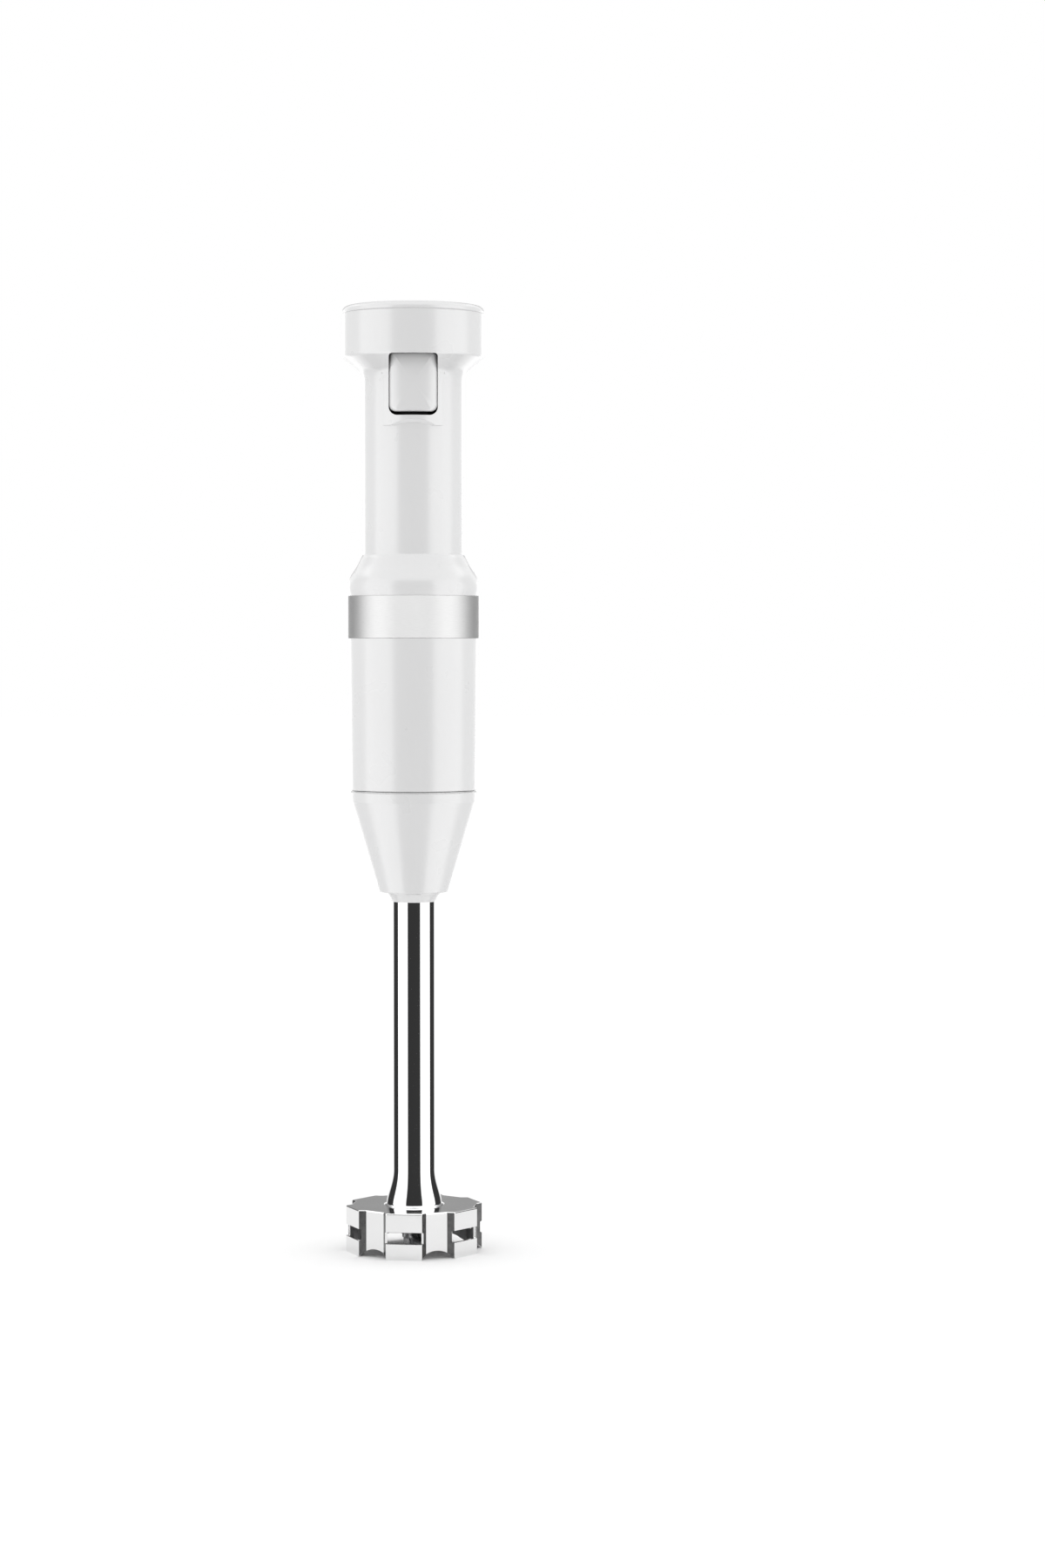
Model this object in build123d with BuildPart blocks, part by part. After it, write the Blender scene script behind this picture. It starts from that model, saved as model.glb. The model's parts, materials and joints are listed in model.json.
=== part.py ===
from build123d import *
from math import cos, radians, sin
import os

os.makedirs("parts", exist_ok=True)

# Immersion blender, standing on its bell. Millimetres, +Z up, front towards -Y.
# The origin is the centre of the bell's foot on the surface that it stands on.

# ---------------------------------------------------------------- driving dimensions
TOTAL_HEIGHT = 406.4
LID_SEAM = 402.7
PUCK_R = 30.4
PUCK_FOOT = 384.2
CONE_FOOT = 376.9
NECK_R = 21.6
NECK_FOOT = 304.0
BAND_TOP = 282.3
BAND_FOOT = 264.1
BAND_R = 28.0
ARM_SEAM = 198.7
SEAM_GAP = 0.7
COLLAR_R = 27.2
COLLAR_EDGE = 194.1
COLLAR_STEP = 155.2
NOSE_FOOT = 150.9
TUBE_R = 9.0
TUBE_WALL = 0.8
TUBE_TOP = 190.0
BELL_TOP = 19.9
BELL_WALL = 1.1
LOBES = 6
LOBE_TURN = -99.0
LOBE_APOTHEM = 28.5
LOBE_HALF = 7.8
RECESS_APOTHEM = 26.6
RECESS_HALF = 4.8
WINDOW_FOOT = 6.8
WINDOW_TOP = 11.9
ARCH_HALF = 7.75
ARCH_RISE = 3.6

SHELL_WALL = 2.0
HOUSING_BORE_R = 25.0
SHAFT_R = 3.0
FIT = 0.05
STEP = 0.3

TRIGGER_HALF = 9.5
TRIGGER_FOOT = 360.0
TRIGGER_TOP = 383.3
TRIGGER_FACE = 24.1
OPENING_HALF = 10.35
OPENING_FOOT = 358.4
OPENING_TOP = 384.1
PIVOT_Y = -14.0
PIVOT_Z = 381.5
PIVOT_R = 1.5
SWITCH_Z = 364.0
SPRING_Z = 372.5
BRACKET_Y = -2.5

LUGS = 3
LUG_FIRST = 90.0
LUG_HALF = 9.0
LUG_R = 20.8
LUG_FOOT = 208.0
LUG_TOP = 212.0
LOCK_TURN = 30.0
SPIGOT_R = 18.7
SPIGOT_TOP = 216.0
SOCKET_R = 19.0

CORD_Z = 392.5
CORD_R = 3.5
SCREW_ZS = (297.5, 352.0)


# ---------------------------------------------------------------- shared geometry
def polar(radius, angle):
    """A point in plan at a radius and an angle in degrees."""
    return (radius * cos(radians(angle)), radius * sin(radians(angle)))


def sector(outer, start, end):
    """A pie slice in plan, from the axis to a radius, added to the current sketch."""
    with BuildLine() as outline:
        Line((0, 0), polar(outer, start))
        CenterArc((0, 0), outer, start, end - start)
        Line(polar(outer, end), (0, 0))
    make_face(outline.edges())


def ring(outer, inner):
    """A washer outline, added to the current sketch."""
    Circle(outer)
    Circle(inner, mode=Mode.SUBTRACT)


def save(piece, name):
    """Label a finished piece and write its file."""
    piece.part.label = name
    export_step(piece.part, f"parts/{name}.step")


# ---------------------------------------------------------------- bell (blade guard)
def lobe_outline():
    """Corner points of the six-lobed plan outline."""
    points = []
    for i in range(LOBES):
        lobe = LOBE_TURN + i * 360 / LOBES
        recess = lobe + 180 / LOBES
        for apothem, half, angle in ((LOBE_APOTHEM, LOBE_HALF, lobe), (RECESS_APOTHEM, RECESS_HALF, recess)):
            along = (-sin(radians(angle)), cos(radians(angle)))
            face = polar(apothem, angle)
            points.append((face[0] - half * along[0], face[1] - half * along[1]))
            points.append((face[0] + half * along[0], face[1] + half * along[1]))
    return points


BOSS_R = 7.0
BOSS_FOOT = 12.0
BUSH_R = 5.0
BELL_EDGE = 0.45

with BuildPart() as bell:
    with BuildSketch(Plane.XY):
        with BuildLine():
            Polyline(*lobe_outline(), close=True)
        make_face()
        fillet(vertices(), radius=0.5)
    extrude(amount=BELL_TOP)
    chamfer(faces().sort_by(Axis.Z)[-1].edges(), length=BELL_EDGE)
    with BuildSketch(Plane.XY):
        with BuildLine():
            Polyline(*lobe_outline(), close=True)
        make_face()
        offset(amount=-BELL_WALL, kind=Kind.INTERSECTION)
    extrude(amount=BELL_TOP - BELL_WALL, mode=Mode.SUBTRACT)
    with BuildSketch(Plane.XY.offset(BOSS_FOOT)):
        Circle(BOSS_R)
    extrude(amount=BELL_TOP - BOSS_FOOT)
    with BuildSketch(Plane.XY.offset(BOSS_FOOT)):
        Circle(BUSH_R)
    extrude(amount=BELL_TOP - BOSS_FOOT, mode=Mode.SUBTRACT)
    for i in range(LOBES):
        lobe = LOBE_TURN + i * 360 / LOBES
        window_plane = Plane(origin=(0, 0, 0), x_dir=(-sin(radians(lobe)), cos(radians(lobe)), 0),
                             z_dir=(cos(radians(lobe)), sin(radians(lobe)), 0))
        with BuildSketch(window_plane.offset(LOBE_APOTHEM - 1.7)):
            with Locations((0, (WINDOW_FOOT + WINDOW_TOP) / 2)):
                Rectangle(2 * LOBE_HALF + 1, WINDOW_TOP - WINDOW_FOOT)
        extrude(amount=4, mode=Mode.SUBTRACT)
        recess = lobe + 180 / LOBES
        arch_plane = Plane(origin=(0, 0, 0), x_dir=(-sin(radians(recess)), cos(radians(recess)), 0),
                           z_dir=(cos(radians(recess)), sin(radians(recess)), 0))
        with BuildSketch(arch_plane.offset(18)):
            with BuildLine():
                ThreePointArc((-ARCH_HALF, 0), (0, ARCH_RISE), (ARCH_HALF, 0))
                Polyline((ARCH_HALF, 0), (ARCH_HALF, -1), (-ARCH_HALF, -1), (-ARCH_HALF, 0))
            make_face()
        extrude(amount=14, mode=Mode.SUBTRACT)
save(bell, "bell")

# ---------------------------------------------------------------- arm tube with its flare
FLARE_TOP = 35.0
FLARE_R = 12.0

with BuildPart() as arm_tube:
    with BuildSketch(Plane.XZ):
        with BuildLine():
            Spline((TUBE_R, FLARE_TOP), (10.0, 28.3), (11.2, 24.9), (FLARE_R, BELL_TOP),
                   tangents=((0, -1), (0.1, -1)))
            Line((FLARE_R, BELL_TOP), (FLARE_R - TUBE_WALL, BELL_TOP))
            Spline((FLARE_R - TUBE_WALL, BELL_TOP), (11.2 - TUBE_WALL, 24.7), (10.0 - TUBE_WALL, 28.0),
                   (TUBE_R - TUBE_WALL, FLARE_TOP), tangents=((-0.1, 1), (0, 1)))
            Polyline((TUBE_R - TUBE_WALL, FLARE_TOP), (TUBE_R - TUBE_WALL, TUBE_TOP), (TUBE_R, TUBE_TOP),
                     (TUBE_R, FLARE_TOP))
        make_face()
    revolve(axis=Axis.Z)
save(arm_tube, "arm_tube")

# ---------------------------------------------------------------- arm collar (white cone)
COLLAR_TOP = ARM_SEAM - SEAM_GAP / 2
COLLAR_BORE_R = 24.9
STEP_R = 15.25
NOSE_R = 11.45
NOSE_TIP_R = 9.6
SLEEVE_TOP = 158.0

with BuildPart() as arm_collar:
    with BuildSketch(Plane.XZ):
        with BuildLine():
            outline = FilletPolyline((COLLAR_R, COLLAR_TOP), (COLLAR_R, COLLAR_EDGE), (STEP_R, COLLAR_STEP),
                                     (NOSE_R + 0.2, COLLAR_STEP), (NOSE_R, COLLAR_STEP - 0.9),
                                     (NOSE_TIP_R, NOSE_FOOT), radius=(2.0, 0.4, 0.2, 0.3))
            Polyline(outline @ 1, (TUBE_R, NOSE_FOOT), (TUBE_R, SLEEVE_TOP), (14.0, SLEEVE_TOP),
                     (COLLAR_BORE_R, COLLAR_EDGE), (COLLAR_BORE_R, COLLAR_TOP), outline @ 0)
        make_face()
    revolve(axis=Axis.Z)
    chamfer(edges().filter_by(GeomType.CIRCLE).group_by(Axis.Z)[-1].sort_by(SortBy.RADIUS)[-1], length=STEP)
save(arm_collar, "arm_collar")

# ---------------------------------------------------------------- bayonet spigot with three lugs
SPIGOT_BORE_R = 14.5
SPIGOT_FLANGE = (194.5, 198.0)
SPIGOT_SLEEVE_FOOT = 186.0
GASKET = (203.6, 205.9)
GASKET_BED_R = 17.2
COUPLING_WAY_R = 8.7

with BuildPart() as bayonet_spigot:
    with BuildSketch(Plane.XY.offset(SPIGOT_FLANGE[0])):
        ring(COLLAR_BORE_R, TUBE_R)
    extrude(amount=SPIGOT_FLANGE[1] - SPIGOT_FLANGE[0])
    with BuildSketch(Plane.XY.offset(SPIGOT_SLEEVE_FOOT)):
        ring(TUBE_R + 2.4, TUBE_R)
    extrude(amount=SPIGOT_FLANGE[0] - SPIGOT_SLEEVE_FOOT)
    with BuildSketch(Plane.XY.offset(SPIGOT_FLANGE[1])):
        ring(SPIGOT_R, SPIGOT_BORE_R)
    extrude(amount=SPIGOT_TOP - SPIGOT_FLANGE[1])
    with BuildSketch(Plane.XY.offset(LUG_FOOT)):
        for i in range(LUGS):
            middle = LUG_FIRST + i * 360 / LUGS
            sector(LUG_R, middle - LUG_HALF, middle + LUG_HALF)
        Circle(SPIGOT_R - 1, mode=Mode.SUBTRACT)
    extrude(amount=LUG_TOP - LUG_FOOT)
    with BuildSketch(Plane.XY.offset(GASKET[0] - STEP)):
        ring(SPIGOT_R + 1, GASKET_BED_R)
    extrude(amount=GASKET[1] - GASKET[0] + 2 * STEP, mode=Mode.SUBTRACT)
    chamfer(edges().filter_by(GeomType.CIRCLE).group_by(Axis.Z)[-1], length=0.5)
save(bayonet_spigot, "bayonet_spigot")

# ---------------------------------------------------------------- arm gasket
with BuildPart() as arm_gasket:
    with BuildSketch(Plane.XY.offset(GASKET[0])):
        ring(SOCKET_R - FIT, GASKET_BED_R + FIT)
    extrude(amount=GASKET[1] - GASKET[0])
    fillet(edges().filter_by(GeomType.CIRCLE).sort_by(SortBy.RADIUS)[-2:], radius=0.6)
save(arm_gasket, "arm_gasket")

# ---------------------------------------------------------------- bushes and seal of the arm
UPPER_BUSH_FOOT = 182.0
LOWER_BUSH_LENGTH = 14.0
SEAL = (12.3, 14.9)
SEAL_BACK = 15.2

with BuildPart() as upper_bush:
    with BuildSketch(Plane.XY.offset(UPPER_BUSH_FOOT)):
        ring(TUBE_R - TUBE_WALL, SHAFT_R + FIT)
    extrude(amount=TUBE_TOP - UPPER_BUSH_FOOT)
save(upper_bush, "upper_bush")

with BuildPart() as lower_bush:
    with BuildSketch(Plane.XY.offset(BELL_TOP)):
        ring(TUBE_R - TUBE_WALL, SHAFT_R + FIT)
    extrude(amount=LOWER_BUSH_LENGTH)
    with BuildSketch(Plane.XY.offset(SEAL_BACK)):
        ring(BUSH_R, SHAFT_R + FIT)
    extrude(amount=BELL_TOP - SEAL_BACK)
save(lower_bush, "lower_bush")

with BuildPart() as shaft_seal:
    with BuildSketch(Plane.XY.offset(SEAL[0])):
        ring(BUSH_R, SHAFT_R + FIT)
    extrude(amount=SEAL[1] - SEAL[0])
save(shaft_seal, "shaft_seal")

# ---------------------------------------------------------------- blade drive
SHAFT_FOOT = 3.2
SHAFT_TOP = 201.5
DRIVEN_R = 8.0
DRIVEN_FOOT = 191.5
DRIVEN_TOP = 214.5
HUB = (5.4, 10.3)
HEX_FLOOR = 203.0
FEMALE_FLAT_R = 4.7
MALE_FLAT_R = 4.5

with BuildPart() as drive_shaft:
    with BuildSketch(Plane.XY.offset(SHAFT_FOOT)):
        Circle(SHAFT_R)
    extrude(amount=SHAFT_TOP - SHAFT_FOOT)
    chamfer(edges().group_by(Axis.Z)[-1], length=0.5)
save(drive_shaft, "drive_shaft")

with BuildPart() as driven_coupling:
    with BuildSketch(Plane.XY.offset(DRIVEN_FOOT)):
        Circle(DRIVEN_R)
    extrude(amount=DRIVEN_TOP - DRIVEN_FOOT)
    chamfer(edges().filter_by(GeomType.CIRCLE), length=0.6)
    with BuildSketch(Plane.XY.offset(HEX_FLOOR)):
        RegularPolygon(FEMALE_FLAT_R, 6, major_radius=False)
    extrude(amount=DRIVEN_TOP - HEX_FLOOR, mode=Mode.SUBTRACT)
    with BuildSketch(Plane.XY.offset(DRIVEN_FOOT)):
        Circle(SHAFT_R)
    extrude(amount=SHAFT_TOP - DRIVEN_FOOT, mode=Mode.SUBTRACT)
save(driven_coupling, "driven_coupling")

with BuildPart() as thrust_washer:
    with BuildSketch(Plane.XY.offset(HUB[1])):
        ring(4.4, SHAFT_R)
    extrude(amount=1.0)
save(thrust_washer, "thrust_washer")

BLADE_WINGS = 4
BLADE_TIP_R = 20.5
BLADE_THICK = 1.3
BLADE_PITCH = 20.0
HUB_R = 5.2

with BuildPart() as blade:
    with BuildSketch(Plane.XY.offset(HUB[0])):
        Circle(HUB_R)
    extrude(amount=HUB[1] - HUB[0])
    chamfer(edges().filter_by(GeomType.CIRCLE), length=0.5)
    for i in range(BLADE_WINGS):
        wing = LOBE_TURN + 20 + i * 360 / BLADE_WINGS
        lift = 5 if i % 2 else -4
        radial = Vector(cos(radians(wing)), sin(radians(wing)), sin(radians(lift)))
        level = Vector(-sin(radians(wing)), cos(radians(wing)), 0)
        across = level.rotate(Axis((0, 0, 0), radial), BLADE_PITCH)
        wing_plane = Plane(origin=(0, 0, (HUB[0] + HUB[1]) / 2), x_dir=radial, z_dir=radial.cross(across))
        with BuildSketch(wing_plane.offset(-BLADE_THICK / 2)):
            with BuildLine():
                Polyline((3.6, -3.2), (12, -3.6), (BLADE_TIP_R, -1.0), (BLADE_TIP_R - 0.8, 2.2), (11, 3.4),
                         (3.6, 3.0), close=True)
            make_face()
            fillet(vertices().sort_by(Axis.X)[-2:], radius=0.8)
        extrude(amount=BLADE_THICK)
    with BuildSketch(Plane.XY):
        Circle(SHAFT_R)
    extrude(amount=BELL_TOP, mode=Mode.SUBTRACT)
save(blade, "blade")

NUT_FOOT = 2.4
NUT_FLAT_R = 4.0

with BuildPart() as blade_nut:
    with BuildSketch(Plane.XY.offset(NUT_FOOT)):
        RegularPolygon(NUT_FLAT_R, 6, major_radius=False)
    extrude(amount=HUB[0] - NUT_FOOT)
    with BuildSketch(Plane.XY.offset(SHAFT_FOOT)):
        Circle(SHAFT_R)
    extrude(amount=HUB[0] - SHAFT_FOOT, mode=Mode.SUBTRACT)
    chamfer(edges().group_by(Axis.Z)[0], length=STEP)
save(blade_nut, "blade_nut")

# ---------------------------------------------------------------- motor housing and band
HOUSING_FOOT = ARM_SEAM + SEAM_GAP / 2
HOUSING_FOOT_R = 27.3
HOUSING_TOP_R = 27.95
HOUSING_TOP = 288.0
MOUTH_R = 22.5
FLOOR_TOP = 201.0
BAND_SHEET = 0.6
SPIGOT_NECK_R = 26.2
VENT_COUNT = 7
VENT_STEP = 9.0
VENT_LENGTH = 12.0
OUTLET_Z = 232.0
OUTLET_WIDTH = 1.8
INLET_Z = 318.0
INLET_WIDTH = 1.6


def vent_planes(z):
    """Planes facing outwards behind the handle, one for each slot of a row of vents."""
    planes = []
    for i in range(VENT_COUNT):
        turn = 90 + (i - (VENT_COUNT - 1) / 2) * VENT_STEP
        planes.append(Plane(origin=(0, 0, z), x_dir=(*polar(1, turn + 90), 0), z_dir=(*polar(1, turn), 0)))
    return planes


with BuildPart() as motor_housing:
    with BuildSketch(Plane.XZ):
        with BuildLine():
            Polyline((MOUTH_R, HOUSING_FOOT), (HOUSING_FOOT_R, HOUSING_FOOT), (HOUSING_TOP_R, BAND_FOOT),
                     (BAND_R - BAND_SHEET, BAND_FOOT), (BAND_R - BAND_SHEET, BAND_TOP),
                     (SPIGOT_NECK_R, BAND_TOP),
                     (SPIGOT_NECK_R, HOUSING_TOP), (HOUSING_BORE_R, HOUSING_TOP), (HOUSING_BORE_R, FLOOR_TOP),
                     (MOUTH_R, FLOOR_TOP), close=True)
        make_face()
    revolve(axis=Axis.Z)
    chamfer(edges().filter_by(GeomType.CIRCLE).group_by(Axis.Z)[0].sort_by(SortBy.RADIUS)[-1], length=STEP)
    for vent_plane in vent_planes(OUTLET_Z):
        with BuildSketch(vent_plane.offset(HOUSING_BORE_R - 2)):
            SlotOverall(VENT_LENGTH, OUTLET_WIDTH, rotation=90)
        extrude(amount=8, mode=Mode.SUBTRACT)
save(motor_housing, "motor_housing")

with BuildPart() as metal_band:
    with BuildSketch(Plane.XY.offset(BAND_FOOT)):
        ring(BAND_R, BAND_R - BAND_SHEET)
    extrude(amount=BAND_TOP - BAND_FOOT)
    chamfer(edges().filter_by(GeomType.CIRCLE).group_by(SortBy.RADIUS)[-1], length=0.15)
save(metal_band, "metal_band")

# ---------------------------------------------------------------- bayonet socket
SOCKET_TOP = 222.0
SOCKET_CEILING = 218.8
GROOVE_R = 21.2
SLOT_HALF = 10.5
HUB_WAY_R = 7.6

with BuildPart() as bayonet_socket:
    with BuildSketch(Plane.XY.offset(FLOOR_TOP)):
        Circle(HOUSING_BORE_R)
    extrude(amount=SOCKET_TOP - FLOOR_TOP)
    with BuildSketch(Plane.XY.offset(FLOOR_TOP)):
        Circle(SOCKET_R)
    extrude(amount=SOCKET_CEILING - FLOOR_TOP, mode=Mode.SUBTRACT)
    with BuildSketch(Plane.XY.offset(FLOOR_TOP)):
        Circle(HUB_WAY_R)
    extrude(amount=SOCKET_TOP - FLOOR_TOP, mode=Mode.SUBTRACT)
    with BuildSketch(Plane.XY.offset(FLOOR_TOP)):
        for i in range(LUGS):
            middle = LUG_FIRST + i * 360 / LUGS
            sector(GROOVE_R, middle - SLOT_HALF, middle + SLOT_HALF)
    extrude(amount=LUG_TOP + STEP - FLOOR_TOP, mode=Mode.SUBTRACT)
    with BuildSketch(Plane.XY.offset(LUG_FOOT - STEP)):
        for i in range(LUGS):
            middle = LUG_FIRST + i * 360 / LUGS
            sector(GROOVE_R, middle - SLOT_HALF, middle + LOCK_TURN + SLOT_HALF)
    extrude(amount=LUG_TOP - LUG_FOOT + 2 * STEP, mode=Mode.SUBTRACT)
save(bayonet_socket, "bayonet_socket")

# ---------------------------------------------------------------- motor: turning parts
MOTOR_SHAFT = (206.0, 286.0)
CORE = (240.5, 261.5)
CORE_R = 11.7
FAN = (228.6, 234.4)
FAN_R = 19.5
FAN_DISC = 1.2
FAN_BLADES = 11
DRIVE_HEX = (HEX_FLOOR + 0.8, DRIVEN_TOP + 0.5)
DRIVE_FLANGE_R = 7.0
DRIVE_FLANGE = 3.4

with BuildPart() as motor_shaft:
    with BuildSketch(Plane.XY.offset(MOTOR_SHAFT[0])):
        Circle(SHAFT_R)
    extrude(amount=MOTOR_SHAFT[1] - MOTOR_SHAFT[0])
    chamfer(edges().filter_by(GeomType.CIRCLE), length=0.4)
save(motor_shaft, "motor_shaft")

with BuildPart() as drive_coupling:
    with BuildSketch(Plane.XY.offset(DRIVE_HEX[0])):
        RegularPolygon(MALE_FLAT_R, 6, major_radius=False)
    extrude(amount=DRIVE_HEX[1] - DRIVE_HEX[0])
    with BuildSketch(Plane.XY.offset(DRIVE_HEX[1])):
        Circle(DRIVE_FLANGE_R)
    extrude(amount=DRIVE_FLANGE)
    with BuildSketch(Plane.XY.offset(MOTOR_SHAFT[0])):
        Circle(SHAFT_R)
    extrude(amount=DRIVE_HEX[1] + DRIVE_FLANGE - MOTOR_SHAFT[0], mode=Mode.SUBTRACT)
save(drive_coupling, "drive_coupling")

with BuildPart() as cooling_fan:
    with BuildSketch(Plane.XY.offset(FAN[0])):
        ring(FAN_R, SHAFT_R)
    extrude(amount=FAN_DISC)
    with BuildSketch(Plane.XY.offset(FAN[0] + FAN_DISC)):
        ring(5.5, SHAFT_R)
        with PolarLocations(FAN_R - 6.9, FAN_BLADES):
            Rectangle(13.2, 1.0, rotation=24)
    extrude(amount=FAN[1] - FAN[0] - FAN_DISC)
save(cooling_fan, "cooling_fan")

SLOTS = 12
SLOT_CENTRE_R = 8.2
SLOT_MOUTH_R = 11.2
END_TURN = 4.2
END_TURN_R = 11.0

with BuildPart() as armature_core:
    with BuildSketch(Plane.XY.offset(CORE[0])):
        ring(CORE_R, SHAFT_R)
        with PolarLocations(SLOT_CENTRE_R, SLOTS):
            SlotOverall(5.0, 2.4, mode=Mode.SUBTRACT)
        with PolarLocations(SLOT_MOUTH_R, SLOTS):
            Rectangle(2.4, 0.9, mode=Mode.SUBTRACT)
    extrude(amount=CORE[1] - CORE[0])
save(armature_core, "armature_core")

with BuildPart() as armature_windings:
    with BuildSketch(Plane.XY.offset(CORE[0])):
        with PolarLocations(SLOT_CENTRE_R, SLOTS):
            SlotOverall(5.0, 2.4)
    extrude(amount=CORE[1] - CORE[0])
    for foot in (CORE[0] - END_TURN, CORE[1]):
        with BuildSketch(Plane.XY.offset(foot)):
            ring(END_TURN_R, SHAFT_R + 0.6)
        extrude(amount=END_TURN)
    fillet(edges().filter_by(GeomType.CIRCLE).group_by(Axis.Z)[0].sort_by(SortBy.RADIUS)[-1], radius=1.5)
    fillet(edges().filter_by(GeomType.CIRCLE).group_by(Axis.Z)[-1].sort_by(SortBy.RADIUS)[-1], radius=1.5)
save(armature_windings, "armature_windings")

COMMUTATOR = (268.0, 277.0)
COMMUTATOR_R = 7.0
COMMUTATOR_FLANGE = 1.4

with BuildPart() as commutator:
    with BuildSketch(Plane.XY.offset(COMMUTATOR[0])):
        ring(COMMUTATOR_R, SHAFT_R)
        with PolarLocations(COMMUTATOR_R, 2 * SLOTS):
            Rectangle(1.4, 0.35, mode=Mode.SUBTRACT)
    extrude(amount=COMMUTATOR[1] - COMMUTATOR[0])
    with BuildSketch(Plane.XY.offset(COMMUTATOR[0] - COMMUTATOR_FLANGE)):
        ring(COMMUTATOR_R + 1.0, SHAFT_R)
    extrude(amount=COMMUTATOR_FLANGE)
save(commutator, "commutator")

# ---------------------------------------------------------------- motor: fixed parts
STATOR = (240.0, 262.0)
STATOR_BORE_R = 12.2
STATOR_HALF = 17.5
COIL_GAP = 9.2
COIL_R = (12.6, 16.2)
COIL_RISE = 3.8
BOLT_X = 21.6
BOLT_R = 1.5

with BuildPart() as field_core:
    with BuildSketch(Plane.XY.offset(STATOR[0])):
        Circle(HOUSING_BORE_R - 1.5)
        Rectangle(2 * HOUSING_BORE_R, 2 * STATOR_HALF, mode=Mode.INTERSECT)
        Circle(STATOR_BORE_R, mode=Mode.SUBTRACT)
        Rectangle(33, COIL_GAP, mode=Mode.SUBTRACT)
        with Locations((BOLT_X, 0), (-BOLT_X, 0)):
            Circle(BOLT_R, mode=Mode.SUBTRACT)
    extrude(amount=STATOR[1] - STATOR[0])
save(field_core, "field_core")


def coil_end(middle):
    """Plan of one coil's end turns, centred on an angle, added to the current sketch."""
    with BuildLine() as outline:
        CenterArc((0, 0), COIL_R[1], middle - 74, 148)
        Line(polar(COIL_R[1], middle + 74), polar(COIL_R[0], middle + 70))
        CenterArc((0, 0), COIL_R[0], middle + 70, -140)
        Line(polar(COIL_R[0], middle - 70), polar(COIL_R[1], middle - 74))
    make_face(outline.edges())


with BuildPart() as field_coils:
    for side in (-1, 1):
        for foot in (STATOR[0] - COIL_RISE, STATOR[1]):
            with BuildSketch(Plane.XY.offset(foot)):
                coil_end(side * 90)
            extrude(amount=COIL_RISE)
        with BuildSketch(Plane.XY.offset(STATOR[0])):
            with Locations((-14.35, side * 2.6), (14.35, side * 2.6)):
                Rectangle(3.2, 3.6)
        extrude(amount=STATOR[1] - STATOR[0])
save(field_coils, "field_coils")

BEARING_R = 8.0
BRACKET_SHEET = 2.4
POST_X = BOLT_X + 0.9

with BuildPart() as lower_bracket:
    with BuildSketch(Plane.XY.offset(SOCKET_TOP)):
        ring(HOUSING_BORE_R, BEARING_R)
    extrude(amount=BRACKET_SHEET)
    with BuildSketch(Plane.XY.offset(SOCKET_TOP + BRACKET_SHEET)):
        ring(10.5, BEARING_R)
    extrude(amount=3.2)
    with BuildSketch(Plane.XY.offset(SOCKET_TOP + BRACKET_SHEET)):
        with Locations((POST_X, 0), (-POST_X, 0)):
            Rectangle(3.6, 6.0)
    extrude(amount=STATOR[0] - SOCKET_TOP - BRACKET_SHEET)
    with BuildSketch(Plane.XY.offset(SOCKET_TOP)):
        with Locations((BOLT_X, 0), (-BOLT_X, 0)):
            Circle(BOLT_R)
    extrude(amount=STATOR[0] - SOCKET_TOP, mode=Mode.SUBTRACT)
save(lower_bracket, "lower_bracket")

UPPER_BRACKET = 279.4
UPPER_SHEET = 2.0

with BuildPart() as upper_bracket:
    with BuildSketch(Plane.XY.offset(UPPER_BRACKET)):
        ring(HOUSING_BORE_R, BEARING_R)
        with Locations((0, -16.5), (0, 16.5)):
            SlotOverall(16, 5, mode=Mode.SUBTRACT)
    extrude(amount=UPPER_SHEET)
    with BuildSketch(Plane.XY.offset(UPPER_BRACKET)):
        ring(10.0, BEARING_R)
    extrude(amount=4.6)
    with BuildSketch(Plane.XY.offset(STATOR[1])):
        with Locations((POST_X, 0), (-POST_X, 0)):
            Rectangle(3.6, 6.0)
    extrude(amount=UPPER_BRACKET - STATOR[1])
    with BuildSketch(Plane.XY.offset(STATOR[1])):
        with Locations((BOLT_X, 0), (-BOLT_X, 0)):
            Circle(BOLT_R)
    extrude(amount=UPPER_BRACKET + UPPER_SHEET - STATOR[1], mode=Mode.SUBTRACT)
save(upper_bracket, "upper_bracket")

with BuildPart() as motor_screws:
    for side in (-1, 1):
        with BuildSketch(Plane.XY.offset(SOCKET_TOP + 0.2)):
            with Locations((side * BOLT_X, 0)):
                Circle(BOLT_R)
        extrude(amount=UPPER_BRACKET + UPPER_SHEET - SOCKET_TOP - 0.2)
        with BuildSketch(Plane.XY.offset(UPPER_BRACKET + UPPER_SHEET)):
            with Locations((side * BOLT_X, 0)):
                Circle(2.7)
        extrude(amount=1.8)
        with BuildSketch(Plane.XY.offset(UPPER_BRACKET + 2.9)):
            with Locations((side * BOLT_X, 0)):
                Rectangle(3.4, 0.7)
                Rectangle(0.7, 3.4)
        extrude(amount=0.9, mode=Mode.SUBTRACT)
save(motor_screws, "motor_screws")

with BuildPart() as lower_bearing:
    with BuildSketch(Plane.XY.offset(SOCKET_TOP + 0.3)):
        ring(BEARING_R, SHAFT_R + FIT)
    extrude(amount=5.0)
save(lower_bearing, "lower_bearing")

with BuildPart() as upper_bearing:
    with BuildSketch(Plane.XY.offset(UPPER_BRACKET)):
        ring(BEARING_R, SHAFT_R + FIT)
    extrude(amount=4.2)
save(upper_bearing, "upper_bearing")

BRUSH_Z = 272.8
BRUSH_HALF = 2.4

with BuildPart() as carbon_brushes:
    with BuildSketch(Plane.XY.offset(BRUSH_Z - BRUSH_HALF)):
        Rectangle(30, 2 * BRUSH_HALF)
        Circle(COMMUTATOR_R + 2 * FIT, mode=Mode.SUBTRACT)
    extrude(amount=2 * BRUSH_HALF)
save(carbon_brushes, "carbon_brushes")

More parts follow.
